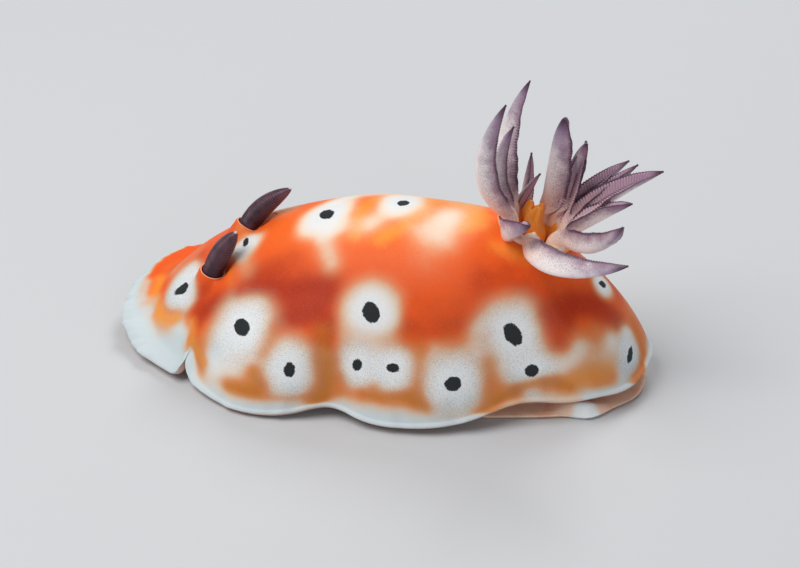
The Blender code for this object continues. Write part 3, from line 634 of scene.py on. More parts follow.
# %% All the fields that the skin's vertices carry
def skin_fields(points, reach, bearing, under):
    spot, white, dust = spot_field(points)
    start = margin_start(bearing)
    soft = 0.45 * np.maximum(1.0 - start, 0.0) + 0.008
    margin = smooth(start - soft, start + soft, reach)
    flank = smooth(0.35, 0.65, reach) * smooth(0.95, 0.8, reach)
    deep = 0.85 * stroke_field(points, DEEP_STROKES) + 0.15 * flank
    yolk = stroke_field(points, YOLK_STROKES)
    ochre = stroke_field(points, OCHRE_STROKES)
    from_tail = np.abs(bearing)
    low = 0.20 * smooth(0.80, 0.95, reach) * smooth(160.0, 140.0, from_tail)
    white = 1.0 - (1.0 - white) * (1.0 - stroke_field(points, PALE_STROKES)) * (1.0 - low)
    white = white * (1.0 - 0.85 * ochre) * (1.0 - 0.4 * yolk) * (1.0 - stroke_field(points, BARE_STROKES))
    white = 1.0 - (1.0 - white) * (1.0 - margin)
    golden = 0.55 * smooth(0.66, 0.84, reach) * smooth(150.0, 130.0, from_tail) * (1.0 - deep)
    # Painted shade: the white turns bluish grey on the head's lobe, low on the body and at the very edge,
    # where shade falls.
    lobe = smooth(110.0, 135.0, from_tail) * smooth(0.80, 0.90, reach)
    shaded = 0.65 * smooth(9.0, 3.5, points[:, 2] / MM) * smooth(0.98, 0.80, reach)
    painted_shade_blue = np.maximum(np.maximum(shaded, 0.75 * smooth(0.90, 0.99, reach)), lobe)
    return {
        "spot": spot, "white": white, "dust": dust * (1.0 - under), "deep": deep,
        "yolk": yolk, "ochre": np.maximum(ochre, golden), "painted_shade_blue": painted_shade_blue, "under": under,
        "top": smooth(0.62, 0.25, reach),
    }


# %% [markdown]
# ## The skin of the back
#
# One ball of fine rings becomes the whole mantle: its upper half goes to the back, its lower half
# to the underside, and they meet at the thin edge. A single closed skin has no seams to hide. The
# ball is fine enough for the ruffles of the edge, its rings lie closest where the edge curves
# most, and its columns of vertices are gathered at the notch.

# %% Shape the skin
COLUMNS = 448
RINGS = 206
GATHERED_BEARING = NOTCH_BEARING + 2.5


def mantle_ball():
    skin = ball(COLUMNS, RINGS)
    unit = points_of(skin)
    bearing = np.arctan2(unit[:, 1], unit[:, 0])
    from_notch = np.degrees(bearing) - GATHERED_BEARING
    bearing = bearing - np.radians(0.6 * from_notch * bump(from_notch, 0.0, 8.0))
    flat = np.hypot(unit[:, 0], unit[:, 1])
    depth = np.arctan2(-unit[:, 2], flat) / (math.pi / 2.0)
    steep = 1.0 - 0.5 * np.clip(depth / 0.5, 0.0, 1.0) ** 1.3
    under = unit[:, 2] < -0.0001
    reach = np.where(under, np.where(depth < 0.5, steep, 1.0 - depth), flat)
    X = reach * np.cos(bearing)
    Y = reach * np.sin(bearing)
    points = np.where(under[:, None], mantle_under(X, Y), mantle_top(X, Y))
    put_points(skin, points)
    keep = {name: skin.verts.layers.float.new(name) for name in ("reach", "bearing", "under", "collar")}
    for vertex, far, turned, below in zip(skin.verts, reach, np.degrees(bearing), under):
        vertex[keep["reach"]] = far
        vertex[keep["bearing"]] = turned
        vertex[keep["under"]] = float(below)
    return skin, keep


skin, keep = mantle_ball()
print("skin vertices:", len(skin.verts))

# %% [markdown]
# ## Pockets for the feelers and the gill
#
# The two feelers and the gill each stand in a pocket of the back, with a low collar round it. A
# Boolean would leave a sharp crease there. Here a round hole is opened in the skin instead, and
# its rim is extruded ring by ring: up over the collar, down into the pocket, and closed at the
# bottom. The rings near the hole's edge follow the skin, so the collar grows out of it.

# %% Directions round a leaning axis
def lean(to_tail, to_right):
    return Vector((math.tan(math.radians(to_tail)), math.tan(math.radians(to_right)), 1.0)).normalized()


def axis_frame(axis):
    """Fore points towards the head and across towards the right, both square to the axis."""
    across = axis.cross(Vector((-1.0, 0.0, 0.0))).normalized() * -1.0
    fore = axis.cross(across).normalized()
    if fore.x > 0.0:
        fore = -fore
    if across.y < 0.0:
        across = -across
    return fore, across


def round_axis(points, seat, axis):
    """Height over the seat, distance from the axis and turn from the fore side, for each point."""
    fore, across = axis_frame(axis)
    off = points - np.array(seat)
    height = off @ np.array(axis)
    away = np.linalg.norm(off - np.outer(height, np.array(axis)), axis=1)
    return height, away, np.arctan2(off @ np.array(across), off @ np.array(fore))


print("fore and across of an upright axis:", [tuple(side) for side in axis_frame(lean(0.0, 0.0))])

# %% Loops of vertices
def ring_round(edges):
    """The vertices of a closed loop of edges, in order."""
    left = set(edges[1:])
    loop = list(edges[0].verts)
    while left:
        following = next(edge for edge in loop[-1].link_edges if edge in left)
        left.remove(following)
        loop.append(following.other_vert(loop[-1]))
    return loop[:-1]


def extrude_ring(shape, loop):
    """Extrudes a loop of vertices and gives the new loop in the same order."""
    edges = [shape.edges.get(pair) for pair in zip(loop, loop[1:] + loop[:1])]
    made = bmesh.ops.extrude_edge_only(shape, edges=edges)["geom"]
    fresh = [item for item in made if isinstance(item, bmesh.types.BMVert)]
    before = set(loop)
    follows = {}
    for vertex in fresh:
        for edge in vertex.link_edges:
            old = edge.other_vert(vertex)
            if old in before:
                follows[old] = vertex
    return [follows[old] for old in loop]


# %% Open a pocket
PROBE = 4.0 * MM


def open_pocket(shape, seat, axis, reach, profile):
    """Profile rows are: radius, height over the seat, share of the skin's own height, collar."""
    fore, across = axis_frame(axis)
    surface = BVHTree.FromBMesh(shape)
    owners = [(face.verts[0][keep["reach"]], face.verts[0][keep["bearing"]]) for face in shape.faces]
    over, apart, _ = round_axis(points_of(shape), seat, axis)
    within = (apart < reach) & (np.abs(over) < PROBE)
    inside = {vertex for vertex, is_in in zip(shape.verts, within) if is_in}
    hole = [face for face in shape.faces if not inside.isdisjoint(face.verts)]
    bmesh.ops.delete(shape, geom=hole, context="FACES")
    loop = ring_round([edge for edge in shape.edges if edge.is_boundary])
    _, radii, turns = round_axis(np.array([vertex.co[:] for vertex in loop]), seat, axis)
    turns = np.unwrap(turns)
    even = np.linspace(0.0, 1.0, len(loop), endpoint=False) * math.copysign(math.tau, turns[-1] - turns[0])
    even = even + np.mean(turns - even)
    address = [owners[surface.find_nearest(vertex.co)[2]] for vertex in loop]
    for number, (radius, height, share, collar) in enumerate(profile):
        loop = extrude_ring(shape, loop)
        settled = smooth(0.0, 7.0, number + 1.0)
        for place, (vertex, turn, start, level) in enumerate(zip(loop, turns, radii, even)):
            angle = mix(turn, level, settled)
            away = mix(min(start - 0.12 * MM, radius + 0.12 * MM), radius, settled)
            foot = seat + (fore * math.cos(angle) + across * math.sin(angle)) * away
            ground = height
            if share > 0.0:
                hit, _, face, _ = surface.ray_cast(foot + axis * PROBE, -axis)
                ground = mix(height, (hit - seat).dot(axis), share)
                address[place] = owners[face]
            vertex.co = foot + axis * ground
            vertex[keep["reach"]], vertex[keep["bearing"]] = address[place]
            vertex[keep["collar"]] = collar
    bmesh.ops.contextual_create(shape, geom=loop)
    return len(loop)


# %% [markdown]
# ## Two sheaths on the head
#
# The rhinophores are the feelers on the head, and each can be drawn back into its own sheath. The
# sheath is a low swell of orange skin with a thin pale rim that fits closely round the feeler.

# %% The rhinophores' seats and their sheaths
RHINOPHORES = {
    "left": (-0.600, -0.28, 17.0, -4.0, 21.0),
    "right": (-0.530, 0.09, 26.0, 14.0, 34.0),
}


def rhinophore_seat(place):
    X, Y, back, right, bend = place
    return back_at(X, Y), lean(back, right), bend


def pocket_rows(inner, outer, level, pale, rest):
    """Rows that leave the skin between two radii in millimetres, and then the rest of the profile."""
    rows = []
    for share in (0.97, 0.91, 0.83, 0.73, 0.61, 0.47, 0.32, 0.16, 0.0):
        skin_share = 1.0 - (1.0 - share) ** 2
        rows.append((mix(inner, outer, share) * MM, level * MM, skin_share, pale * (1.0 - share)))
    return rows + [(radius * MM, height * MM, 0.0, collar) for radius, height, collar in rest]


SHEATH = (
    (1.33, 0.23, 0.6), (1.29, 0.28, 0.9), (1.24, 0.30, 1.0), (1.20, 0.28, 1.0), (1.17, 0.20, 0.8),
    (1.15, 0.05, 0.5), (1.14, -0.3, 0.3), (1.13, -0.8, 0.2), (1.12, -1.2, 0.1), (1.0, -1.5, 0.0),
    (0.6, -1.65, 0.0),
)
SHEATH_HOLE = 2.1 * MM
sheath_rows = pocket_rows(1.38, 2.04, 0.16, 0.3, SHEATH)


for place in RHINOPHORES.values():
    seat, axis, bend = rhinophore_seat(place)
    print("sheath ring of", open_pocket(skin, seat, axis, SHEATH_HOLE, sheath_rows), "vertices")

# %% [markdown]
# ## The gill's pocket
#
# On the rear of the back a wider pocket holds the gill, which the animal pulls in when it is
# touched. Its collar is low and soft.

# %% The gill's place and its pocket
GILL_PLACE = (0.545, 0.07)
GILL_SINK = 0.7 * MM
gill_axis = lean(18.0, 7.0)
gill_fore, gill_across = axis_frame(gill_axis)
gill_centre = back_at(*GILL_PLACE) - gill_axis * GILL_SINK
GILL_POCKET = (
    (4.10, 0.62, 0.0), (4.00, 0.66, 0.0), (3.92, 0.65, 0.0), (3.85, 0.58, 0.0), (3.80, 0.46, 0.0),
    (3.77, 0.2, 0.0), (3.75, -0.5, 0.0), (3.7, -1.1, 0.0), (3.3, -1.4, 0.0), (2.0, -1.45, 0.0),
)
GILL_HOLE = 6.05 * MM
gill_rows = pocket_rows(4.20, 6.0, 0.55, 0.0, GILL_POCKET)
print("gill ring of", open_pocket(skin, gill_centre, gill_axis, GILL_HOLE, gill_rows), "vertices")

# %% Finish the skin
def layer_values(shape, layer):
    return np.array([vertex[layer] for vertex in shape.verts])


def finish_mantle():
    points = points_of(skin)
    reach, bearing, under, collar = (layer_values(skin, layer) for layer in keep.values())
    fields = skin_fields(points, reach, bearing, under * smooth(0.99, 0.93, reach))
    fields["collar"] = collar
    names = ("mantle_head", "mantle_middle", "mantle_gill", "mantle_tail")
    finish_piece("mantle", skin, mantle_skin, fields, names)


finish_mantle()

# %% [markdown]
# ## The foot
#
# The slug glides on a long flat sole that shows under the mantle at the tail. It is pinkish brown
# and smooth, with a thin skirt and a few whitish patches, and one of them swells into a lump near
# the tail. Again a ball is moved to the form: the upper half to a low hill whose top tucks up under
# the mantle, the lower half to the sole, all at one level.

# %% The foot's finish
PATCH_WHITE = (0.86, 0.90, 0.90)


def flesh_finish(name, base, shade, light, patch=None):
    finish, tree, shader = new_finish(name, 0.4, 0.15)
    cloud = grain(tree, 1.8, 3.0, 0.2)
    dust = grain(tree, 0.16, 2.0, 0.9)
    colour = blend(tree, step(tree, cloud, 0.38, 0.68), base, shade)
    colour = blend(tree, step(tree, dust, 0.58, 0.72), colour, light)
    if patch:
        ragged = roughened(tree, carried(tree, patch), cloud, 0.5)
        colour = blend(tree, step(tree, ragged, 0.22, 0.62), colour, PATCH_WHITE)
    soften(shader, 0.2, (1.0, 0.4, 0.3), 0.8)
    bumps = sum_of(tree, "MULTIPLY_ADD", cloud, 0.7, dust)
    return close_finish(finish, shader, colour, bumps, 0.05, 0.6)


foot_skin = flesh_finish("foot skin", (0.94, 0.62, 0.45), (0.88, 0.49, 0.33), (0.97, 0.80, 0.68), "pale")

# %% Shape the foot
FOOT_FRONT = -17.2 * MM
FOOT_TAIL = 27.6 * MM
FOOT_HALF_WIDTH = 9.7 * MM
FOOT_TOP = 3.3 * MM
FOOT_EDGE = 0.45 * MM
FOOT_LUMP = -47.0


def foot_points(unit):
    rho = np.clip(np.hypot(unit[:, 0], unit[:, 1]), 0.0, 1.0)
    bearing = np.arctan2(unit[:, 1], unit[:, 0])
    square = (np.abs(np.cos(bearing)) ** 2.7 + np.abs(np.sin(bearing)) ** 2.7) ** (-1.0 / 2.7)
    wave = 1.0 + 0.012 * np.sin(9.0 * bearing + 0.6) + 0.007 * np.sin(23.0 * bearing)
    lump = bump(np.degrees(bearing), FOOT_LUMP, 5.5) * smooth(0.75, 0.95, rho)
    wave = wave + 0.13 * lump
    s = (FOOT_FRONT + FOOT_TAIL) / 2.0 + (FOOT_TAIL - FOOT_FRONT) / 2.0 * rho * square * np.cos(bearing)
    x, y = along_body(s, FOOT_HALF_WIDTH * rho * square * np.sin(bearing) * wave)
    top = FOOT_EDGE + (FOOT_TOP - FOOT_EDGE) * smooth(0.86, 0.50, rho) + 0.35 * MM * np.sqrt(1.0 - rho**8)
    top = top + 1.2 * MM * lump * smooth(1.0, 0.95, rho)
    curl = np.clip((rho - 0.90) / 0.10, 0.0, 1.0)
    sole = FOOT_EDGE * (1.0 - np.sqrt(1.0 - curl * curl))
    z = np.where(unit[:, 2] > -0.0001, np.minimum(top, FOOT_TOP), sole)
    return np.stack([x, y, z], -1)


FOOT_PALE = ((21.6, -9.3, 2.0), (-6.0, 9.0, 1.6), (8.0, 8.9, 1.3), (26.0, 4.0, 1.2))
foot = ball(224, 96)
points = foot_points(points_of(foot))
put_points(foot, points)
pale = np.zeros(len(points))
for s, r, radius in FOOT_PALE:
    x, y = along_body(s * MM, r * MM)
    away = np.hypot(points[:, 0] - x, points[:, 1] - y) / MM
    pale = np.maximum(pale, bump(away, 0.0, radius))
finish_piece("foot", foot, foot_skin, {"pale": pale}, ("foot_front", "foot_tail"))

# %% [markdown]
# ## The small head under the mantle
#
# Seen from above, the mantle's front passes for the head. The real head is a small muzzle under
# it, with a round lip, an upright mouth and two short oral tentacles that feel the ground. The lip
# and the mouth are swells and a groove of one ball, so the skin runs on over them.

# %% The muzzle with its lip and mouth
MOUTH_STATION = -20.0 * MM
MOUTH_RADII = (2.35 * MM, 2.9 * MM, 1.75 * MM)
head_angle = BODY_TURN / BODY_LENGTH * MOUTH_STATION
ahead = Vector((-math.cos(head_angle), -math.sin(head_angle), 0.0))
right_hand = Vector((-math.sin(head_angle), math.cos(head_angle), 0.0))
head_x, head_y = along_body(MOUTH_STATION, 0.0)
head_centre = Vector((float(head_x), float(head_y), 2.1 * MM))


def muzzle_points(unit):
    front = -unit[:, 0]
    down = -unit[:, 2] - 0.30
    side = unit[:, 1]
    round_mouth = np.hypot(side * 1.25, down)
    lip = np.where(front > 0.0, bump(round_mouth, 0.36, 0.13), 0.0)
    slit = np.where(front > 0.0, bump(side, 0.0, 0.055) * smooth(0.34, 0.18, np.abs(down)), 0.0)
    swell = 1.0 + 0.15 * lip - 0.30 * slit
    x = unit[:, 0] * MOUTH_RADII[0] * swell
    y = side * MOUTH_RADII[1] * (1.0 + 0.04 * lip)
    z = np.clip(head_centre.z + unit[:, 2] * MOUTH_RADII[2], 0.5 * MM, 3.3 * MM)
    points = np.array(head_centre) + np.outer(x, -np.array(ahead)) + np.outer(y, np.array(right_hand))
    points[:, 2] = z
    return points


head_skin = flesh_finish("head skin", (0.74, 0.50, 0.41), (0.68, 0.38, 0.30), (0.86, 0.74, 0.68))
muzzle = ball(160, 110)
forward = Matrix.Rotation(math.pi / 2.0, 3, "Y")
bmesh.ops.rotate(muzzle, cent=(0.0, 0.0, 0.0), matrix=forward, verts=muzzle.verts)
put_points(muzzle, muzzle_points(points_of(muzzle)))
finish_piece("mouth", muzzle, head_skin, stands_for=("mouth",))

# %% The oral tentacles
def walk_points(unit, path, radius_at, side, up):
    """Turns a ball into a tapered finger along a path of points."""
    share, angle = rows_and_turns(unit)
    steps = np.linspace(0.0, 1.0, len(path))
    centre = np.stack([np.interp(share, steps, [p[i] for p in path]) for i in range(3)], -1)
    radius = radius_at(share)
    return centre + np.outer(radius * np.cos(angle), side) + np.outer(radius * np.sin(angle), up)


def finger_radius(share):
    return 0.5 * MM * (1.0 - 0.62 * share**1.5) * np.sqrt(np.clip(1.0 - (2.0 * share - 1.0) ** 16, 0.0, 1.0))


for name, sign in (("left", -1.0), ("right", 1.0)):
    splay = math.radians(52.0)
    out = (ahead * math.cos(splay) + right_hand * sign * math.sin(splay)).normalized()
    reach = Vector((ahead.dot(out) * MOUTH_RADII[0], right_hand.dot(out) * MOUTH_RADII[1], 0.0)).length
    root = head_centre + out * (reach - 0.5 * MM)
    path = []
    for t in np.linspace(0.0, 1.0, 12):
        path.append(root + out * 3.1 * MM * t + Vector((0.0, 0.0, 0.35 * MM * math.sin(math.pi * t))))
    finger = ball(32, 40)
    up = np.array((0.0, 0.0, 1.0))
    side = np.array(out.cross(Vector(up)))
    put_points(finger, walk_points(points_of(finger), path, finger_radius, side, up))
    name = f"oral_tentacle_{name}"
    finish_piece(name, finger, head_skin, stands_for=(name,))

# %% [markdown]
# ## The rhinophores
#
# A rhinophore smells the water. It is a dark club cut into some thirty thin leaves that slope
# down towards the back. A ball's rings become the leaves: the radius swells and dips along the
# club like the teeth of a saw, and each tooth is tilted by shifting it along the club with the
# angle. A smooth seam runs up the front. The club is nearly black with a touch of purple, the
# leaf edges carry a painted highlight on the back and upper half, and the very tip is pale.

# %% The rhinophore's finish
def rhinophore_finish():
    finish, tree, shader = new_finish("rhinophore skin", 0.42, 0.08)
    dust = grain(tree, 0.15, 2.0, 0.4)
    cloud = grain(tree, 1.1, 2.0, 0.1)
    colour = blend(tree, step(tree, cloud, 0.35, 0.7), (0.038, 0.013, 0.024), (0.105, 0.032, 0.055))
    # Painted highlight: the leaf edges turn pale lilac.
    pale = step(tree, carried(tree, "leaf_edge_highlight"), 0.45, 1.0, 0.55)
    colour = blend(tree, pale, colour, (0.34, 0.24, 0.31))
    colour = blend(tree, step(tree, dust, 0.6, 0.75, 0.2), colour, (0.22, 0.15, 0.18))
    colour = blend(tree, carried(tree, "tip"), colour, (0.66, 0.60, 0.62))
    return close_finish(finish, shader, colour, dust, 0.02, 0.4)


rhinophore_skin = rhinophore_finish()

# %% Shape the rhinophores
CLUB_START = -0.35 * MM
CLUB_LENGTH = 6.55 * MM
CLUB_TOTAL = CLUB_START + CLUB_LENGTH
STALK_FOOT = -1.35 * MM
LEAVES = 30


def rhinophore_points(unit, seat, axis, bend):
    fore, across = axis_frame(axis)
    share, angle = rows_and_turns(unit)
    height = STALK_FOOT + (CLUB_TOTAL + 0.15 * MM - STALK_FOOT) * (1.0 - share)
    club = (height - CLUB_START) / CLUB_LENGTH
    t = np.clip(club, 0.0, 1.0)
    swell = MM * (1.02 + 0.55 * t) * (1.0 - t**2.5) ** 0.72
    phase = LEAVES * (t - 0.030 * np.sin(angle)) % 1.0
    tooth = np.where(phase < 0.7, phase / 0.7, (1.0 - phase) / 0.3)
    seam = 1.0 - 0.95 * bump(np.abs(angle - math.pi / 2.0), 0.0, 0.40)
    leafy = smooth(0.05, 0.20, club) * smooth(1.0, 0.93, club)
    radius_club = swell * (0.93 + 0.09 * tooth * seam * leafy + 0.03 * (1.0 - leafy))
    radius_stalk = 0.90 * MM * (1.0 - 0.12 * smooth(0.0, -1.3 * MM, height))
    radius = mix(radius_stalk, radius_club, smooth(-0.06, 0.02, club))
    radius = np.maximum(radius, 0.17 * MM * smooth(1.0, 0.97, t) * (club > 0.5))
    caps = np.sqrt(np.clip(1.0 - (2.0 * share - 1.0) ** 60, 0.0, 1.0))
    drift = -math.tan(math.radians(bend)) * CLUB_TOTAL * 0.5 * (np.clip(height, 0.0, None) / CLUB_TOTAL) ** 2
    centre = np.array(seat) + np.outer(height, np.array(axis)) + np.outer(drift, np.array(fore))
    points = centre + np.outer(radius * caps * np.cos(angle), np.array(across))
    points = points + np.outer(radius * caps * np.sin(angle), np.array(fore))
    # Painted highlight: the leaf edges are paler on the back of the club and on its upper half, where light
    # catches them.
    highlight_side = mix(0.35, 1.0, smooth(0.3, -0.6, np.sin(angle))) * mix(0.5, 1.0, smooth(0.1, 0.5, t))
    fields = {"leaf_edge_highlight": tooth * leafy * seam * highlight_side, "tip": smooth(0.965, 0.99, club)}
    return points, fields


for side, place in RHINOPHORES.items():
    feeler = ball(64, 240)
    points, fields = rhinophore_points(points_of(feeler), *rhinophore_seat(place))
    put_points(feeler, points)
    name = f"rhinophore_{side}"
    finish_piece(name, feeler, rhinophore_skin, fields, (name,))

# %% [markdown]
# ## The gill
#
# The slug breathes with a ring of plumes on its back. Each plume is a pointed leaf folded along
# its keel. Its outer face is smooth, pale lilac and freckled, its edges and tip are dark purple,
# and its inner faces carry rows of thin leaflets and a dark midline. One ball makes one plume:
# half way round the ball is the outer face, the other half the inner one, and the rings run from
# root to tip. Some plumes roll over on the way up and show their pale side.

# %% The gill's finish
def gill_finish():
    finish, tree, shader = new_finish("gill skin", 0.40, 0.15)
    cloud = grain(tree, 1.4, 3.0, 0.15)
    dust = grain(tree, 0.12, 2.0, 0.5)
    along = carried(tree, "along")
    rough_along = roughened(tree, along, cloud, 0.30)
    outer = blend(tree, step(tree, rough_along, 0.10, 0.52), (0.98, 0.73, 0.60), (0.95, 0.88, 0.87))
    outer = blend(tree, step(tree, rough_along, 0.58, 0.96), outer, (0.31, 0.21, 0.33))
    flank = roughened(tree, carried(tree, "edge"), cloud, 0.5)
    outer = blend(tree, step(tree, flank, 0.46, 1.0, 0.84), outer, (0.28, 0.14, 0.23))
    freckles = sum_of(tree, "MULTIPLY", step(tree, dust, 0.50, 0.62), step(tree, flank, 0.0, 0.7, 0.55))
    outer = blend(tree, freckles, outer, (0.24, 0.09, 0.17))
    inner = blend(tree, step(tree, rough_along, 0.1, 0.9), (0.80, 0.51, 0.54), (0.31, 0.15, 0.29))
    inner = blend(tree, sum_of(tree, "MULTIPLY", carried(tree, "leaflet"), 0.5), inner, (0.78, 0.62, 0.64))
    inner = blend(tree, sum_of(tree, "MULTIPLY", carried(tree, "midline"), 0.85), inner, (0.09, 0.025, 0.08))
    colour = blend(tree, step(tree, carried(tree, "inner"), 0.35, 0.65), outer, inner)
    edge = roughened(tree, carried(tree, "edge"), dust, 0.08)
    edge = sum_of(tree, "MULTIPLY", step(tree, edge, 0.86, 0.98), step(tree, along, 0.10, 0.35, 0.92))
    colour = blend(tree, edge, colour, (0.050, 0.018, 0.052))
    colour = blend(tree, step(tree, along, 0.87, 0.99), colour, (0.045, 0.016, 0.045))
    colour = blend(tree, step(tree, carried(tree, "orange"), 0.0, 1.0), colour, (0.98, 0.34, 0.035))
    soften(shader, 0.15, (1.0, 0.5, 0.4), 0.5)
    bumps = sum_of(tree, "MULTIPLY_ADD", cloud, 0.5, dust)
    return close_finish(finish, shader, colour, bumps, 0.03, 0.6)


gill_skin = gill_finish()

# %% Plumes: bearing, lean at root and tip, length, twist, width, roll, bluntness of the tip, rise
PLUMES = (
    (328, 84, -23, 17.0, -18, 2.5, 0, 3.0, 4.0), (346, 73, -22, 12.5, -40, 2.0, 20, 2.8, 4.0),
    (6, 44, -11, 16.0, 11, 2.8, 25, 2.6, 4.0), (26, 0, -24, 6.8, 19, 1.1, 0, 2.6, 4.0),
    (46, 14, 15, 7.6, -40, 1.4, 0, 2.6, 4.0), (96, -20, -19, 14.4, 40, 2.5, 150, 9.0, 4.0),
    (135, 0, -27, 12.7, -40, 1.8, 10, 2.6, 4.0), (120, 20, -60, 14.5, -40, 2.2, 120, 2.6, 4.0),
    (134, 22, 32, 11.3, 40, 2.1, 20, 2.6, 4.0), (147, 26, 29, 11.9, 40, 1.9, 10, 2.6, 4.0),
    (160, 22, 45, 14.1, 40, 2.5, 35, 2.6, 4.0), (174, 24, 52, 10.2, 40, 2.4, 10, 2.6, 4.0),
    (220, 84, 31, 15.7, 39, 2.4, -20, 2.8, 4.0), (268, 88, 46, 18.3, -80, 2.7, -55, 3.4, 1.6),
    (305, 64, 50, 9.0, -90, 2.5, 0, 5.0, 1.0),
)
GILL_RING = 3.0 * MM
ROOT_DEPTH = 0.5 * MM
STATIONS = 16


def plume_walk(bearing, root_lean, tip_lean, length, twist, rise):
    """Points from the ring to the tip, with the direction and the outward side at each."""
    start = math.radians(bearing)
    out = gill_fore * math.cos(start) + gill_across * math.sin(start)
    point = gill_centre + out * GILL_RING - gill_axis * ROOT_DEPTH
    total = length * MM + ROOT_DEPTH
    walk = []
    for i in range(STATIONS + 1):
        t = i / STATIONS
        tilt = math.radians(root_lean + (tip_lean - root_lean) * t) * smooth(0.4 * MM, rise * MM, t * total)
        angle = math.radians(bearing + twist * t)
        away = gill_fore * math.cos(angle) + gill_across * math.sin(angle)
        direction = (gill_axis * math.cos(tilt) + away * math.sin(tilt)).normalized()
        walk.append((point.copy(), direction, away * math.cos(tilt) - gill_axis * math.sin(tilt)))
        point = point + direction * total / STATIONS
    return walk


def through(values, share):
    """A smooth curve through evenly spaced rows of values."""
    rows = np.array([value[:] for value in values])
    last = len(rows) - 1
    place = np.clip(share * last, 0.0, last - 1e-6)
    i = place.astype(int)
    t = (place - i)[:, None]
    before, here, after, beyond = (rows[np.clip(i + k, 0, last)] for k in (-1, 0, 1, 2))
    curve = 2.0 * here + (after - before) * t + (2.0 * before - 5.0 * here + 4.0 * after - beyond) * t**2
    return 0.5 * (curve + (3.0 * here - before - 3.0 * after + beyond) * t**3)


print(len(PLUMES), "plumes, the longest", max(plume[3] for plume in PLUMES), "mm")

# %% The form of one plume
LEAFLET = 0.30
ROWS_PER_LEAFLET = 6.0
END_SHARE = 0.006


def plume_points(unit, plume, number):
    bearing, root_lean, tip_lean, length, twist, width, roll, blunt, rise = plume
    walk = plume_walk(bearing, root_lean, tip_lean, length, twist, rise)
    row, angle = rows_and_turns(unit)
    t = np.clip((row - END_SHARE) / (1.0 - END_SHARE), 0.0, 1.0)
    a = -np.cos(angle)
    inner = (angle < 0.0) & (np.abs(a) < 0.9999)
    side = np.abs(a)
    metres = t * length
    swell = 0.66 + 0.34 * np.sin(math.pi * np.minimum(t / 0.75, 1.0) ** 0.9 * 0.62)
    size = width * swell * (1.0 - t**blunt) ** 0.8
    ends = np.sqrt(np.clip(np.minimum(row, 1.0 - row) / END_SHARE, 0.0, 1.0))
    size = np.maximum(size, 0.22) * ends
    open_leaf = smooth(0.06, 0.34, t)
    wave = 0.030 * np.sin(metres * 1.7 + number * 1.7 + 1.2 * a) + 0.012 * np.sin(metres * 5.1 + number)
    wave = wave * side**3 * open_leaf
    u_out = 0.53 * np.sign(a) * side**0.9
    v_out = 0.45 - 0.83 * side**1.7
    round_u = 0.50 * np.sin(angle - math.pi / 2.0)
    leaflets = np.abs((metres / LEAFLET - 1.6 * side) % 1.0 - 0.5) * 2.0
    fade = smooth(0.05, 0.16, side) * smooth(1.0, 0.86, side) * smooth(0.10, 0.22, t) * smooth(1.0, 0.9, t)
    u_in = 0.475 * a
    v_in = 0.10 - 0.43 * side**1.25 - 0.15 * leaflets * fade - 0.06 * bump(a, 0.0, 0.06) * open_leaf
    v_root = 0.48 * np.cos(angle - math.pi / 2.0)
    u = np.where(inner, u_in, u_out)
    v = np.where(inner, v_in, v_out)
    comb = 0.085 * leaflets * side**10 * smooth(0.2, 0.4, t) * smooth(1.0, 0.9, t)
    u = mix(round_u, u + (0.5 * wave + comb) * np.sign(a), open_leaf)
    v = mix(v_root, v + wave, open_leaf)
    centre, direction, outward = (through(rows, t) for rows in zip(*walk))
    direction = direction / np.linalg.norm(direction, axis=1)[:, None]
    sideways = np.cross(direction, outward)
    sideways = sideways / np.linalg.norm(sideways, axis=1)[:, None]
    rolled = math.radians(roll) * smooth(0.0, 0.35, t)
    face = outward * np.cos(rolled)[:, None] + sideways * np.sin(rolled)[:, None]
    flank = sideways * np.cos(rolled)[:, None] - outward * np.sin(rolled)[:, None]
    points = centre + (flank * (u * size)[:, None] + face * (v * size)[:, None]) * MM
    fields = {
        "along": t, "edge": side * open_leaf, "inner": inner * open_leaf, "leaflet": leaflets * fade,
        "midline": inner * bump(a, 0.0, 0.10) * smooth(0.12, 0.4, t), "orange": smooth(0.12, 0.02, t) * 0.5,
    }
    return points, fields


# %% Build the plumes in three groups
def build_plumes(name, numbers, stands_for):
    joined = bmesh.new()
    gathered = {}
    for number in numbers:
        plume = PLUMES[number]
        leaf = ball(36, int(plume[3] / LEAFLET * ROWS_PER_LEAFLET))
        points, fields = plume_points(points_of(leaf), plume, number)
        put_points(leaf, points)
        bmesh.ops.recalc_face_normals(leaf, faces=leaf.faces[:])
        scrap = bpy.data.meshes.new("scrap")
        leaf.to_mesh(scrap)
        leaf.free()
        joined.from_mesh(scrap)
        bpy.data.meshes.remove(scrap)
        for field, values in fields.items():
            gathered.setdefault(field, []).append(values)
    fields = {field: np.concatenate(values) for field, values in gathered.items()}
    finish_piece(name, joined, gill_skin, fields, (stands_for,))


build_plumes("gill_plumes_front", range(0, 5), "gill_front")
build_plumes("gill_plumes_right", range(5, 10), "gill_rear")
build_plumes("gill_plumes_left", range(10, 15), "gill_rear")

# %% [markdown]
# ## The gill's root and the anal papilla
#
# All plumes grow from one fleshy ring. Its profile is spun round the gill's axis and then swells
# under each plume, so that the plumes look rooted and not pinned on. In the middle stands the
# anal papilla, a soft orange tube with folded lips that leans to the head, spun from a profile too.

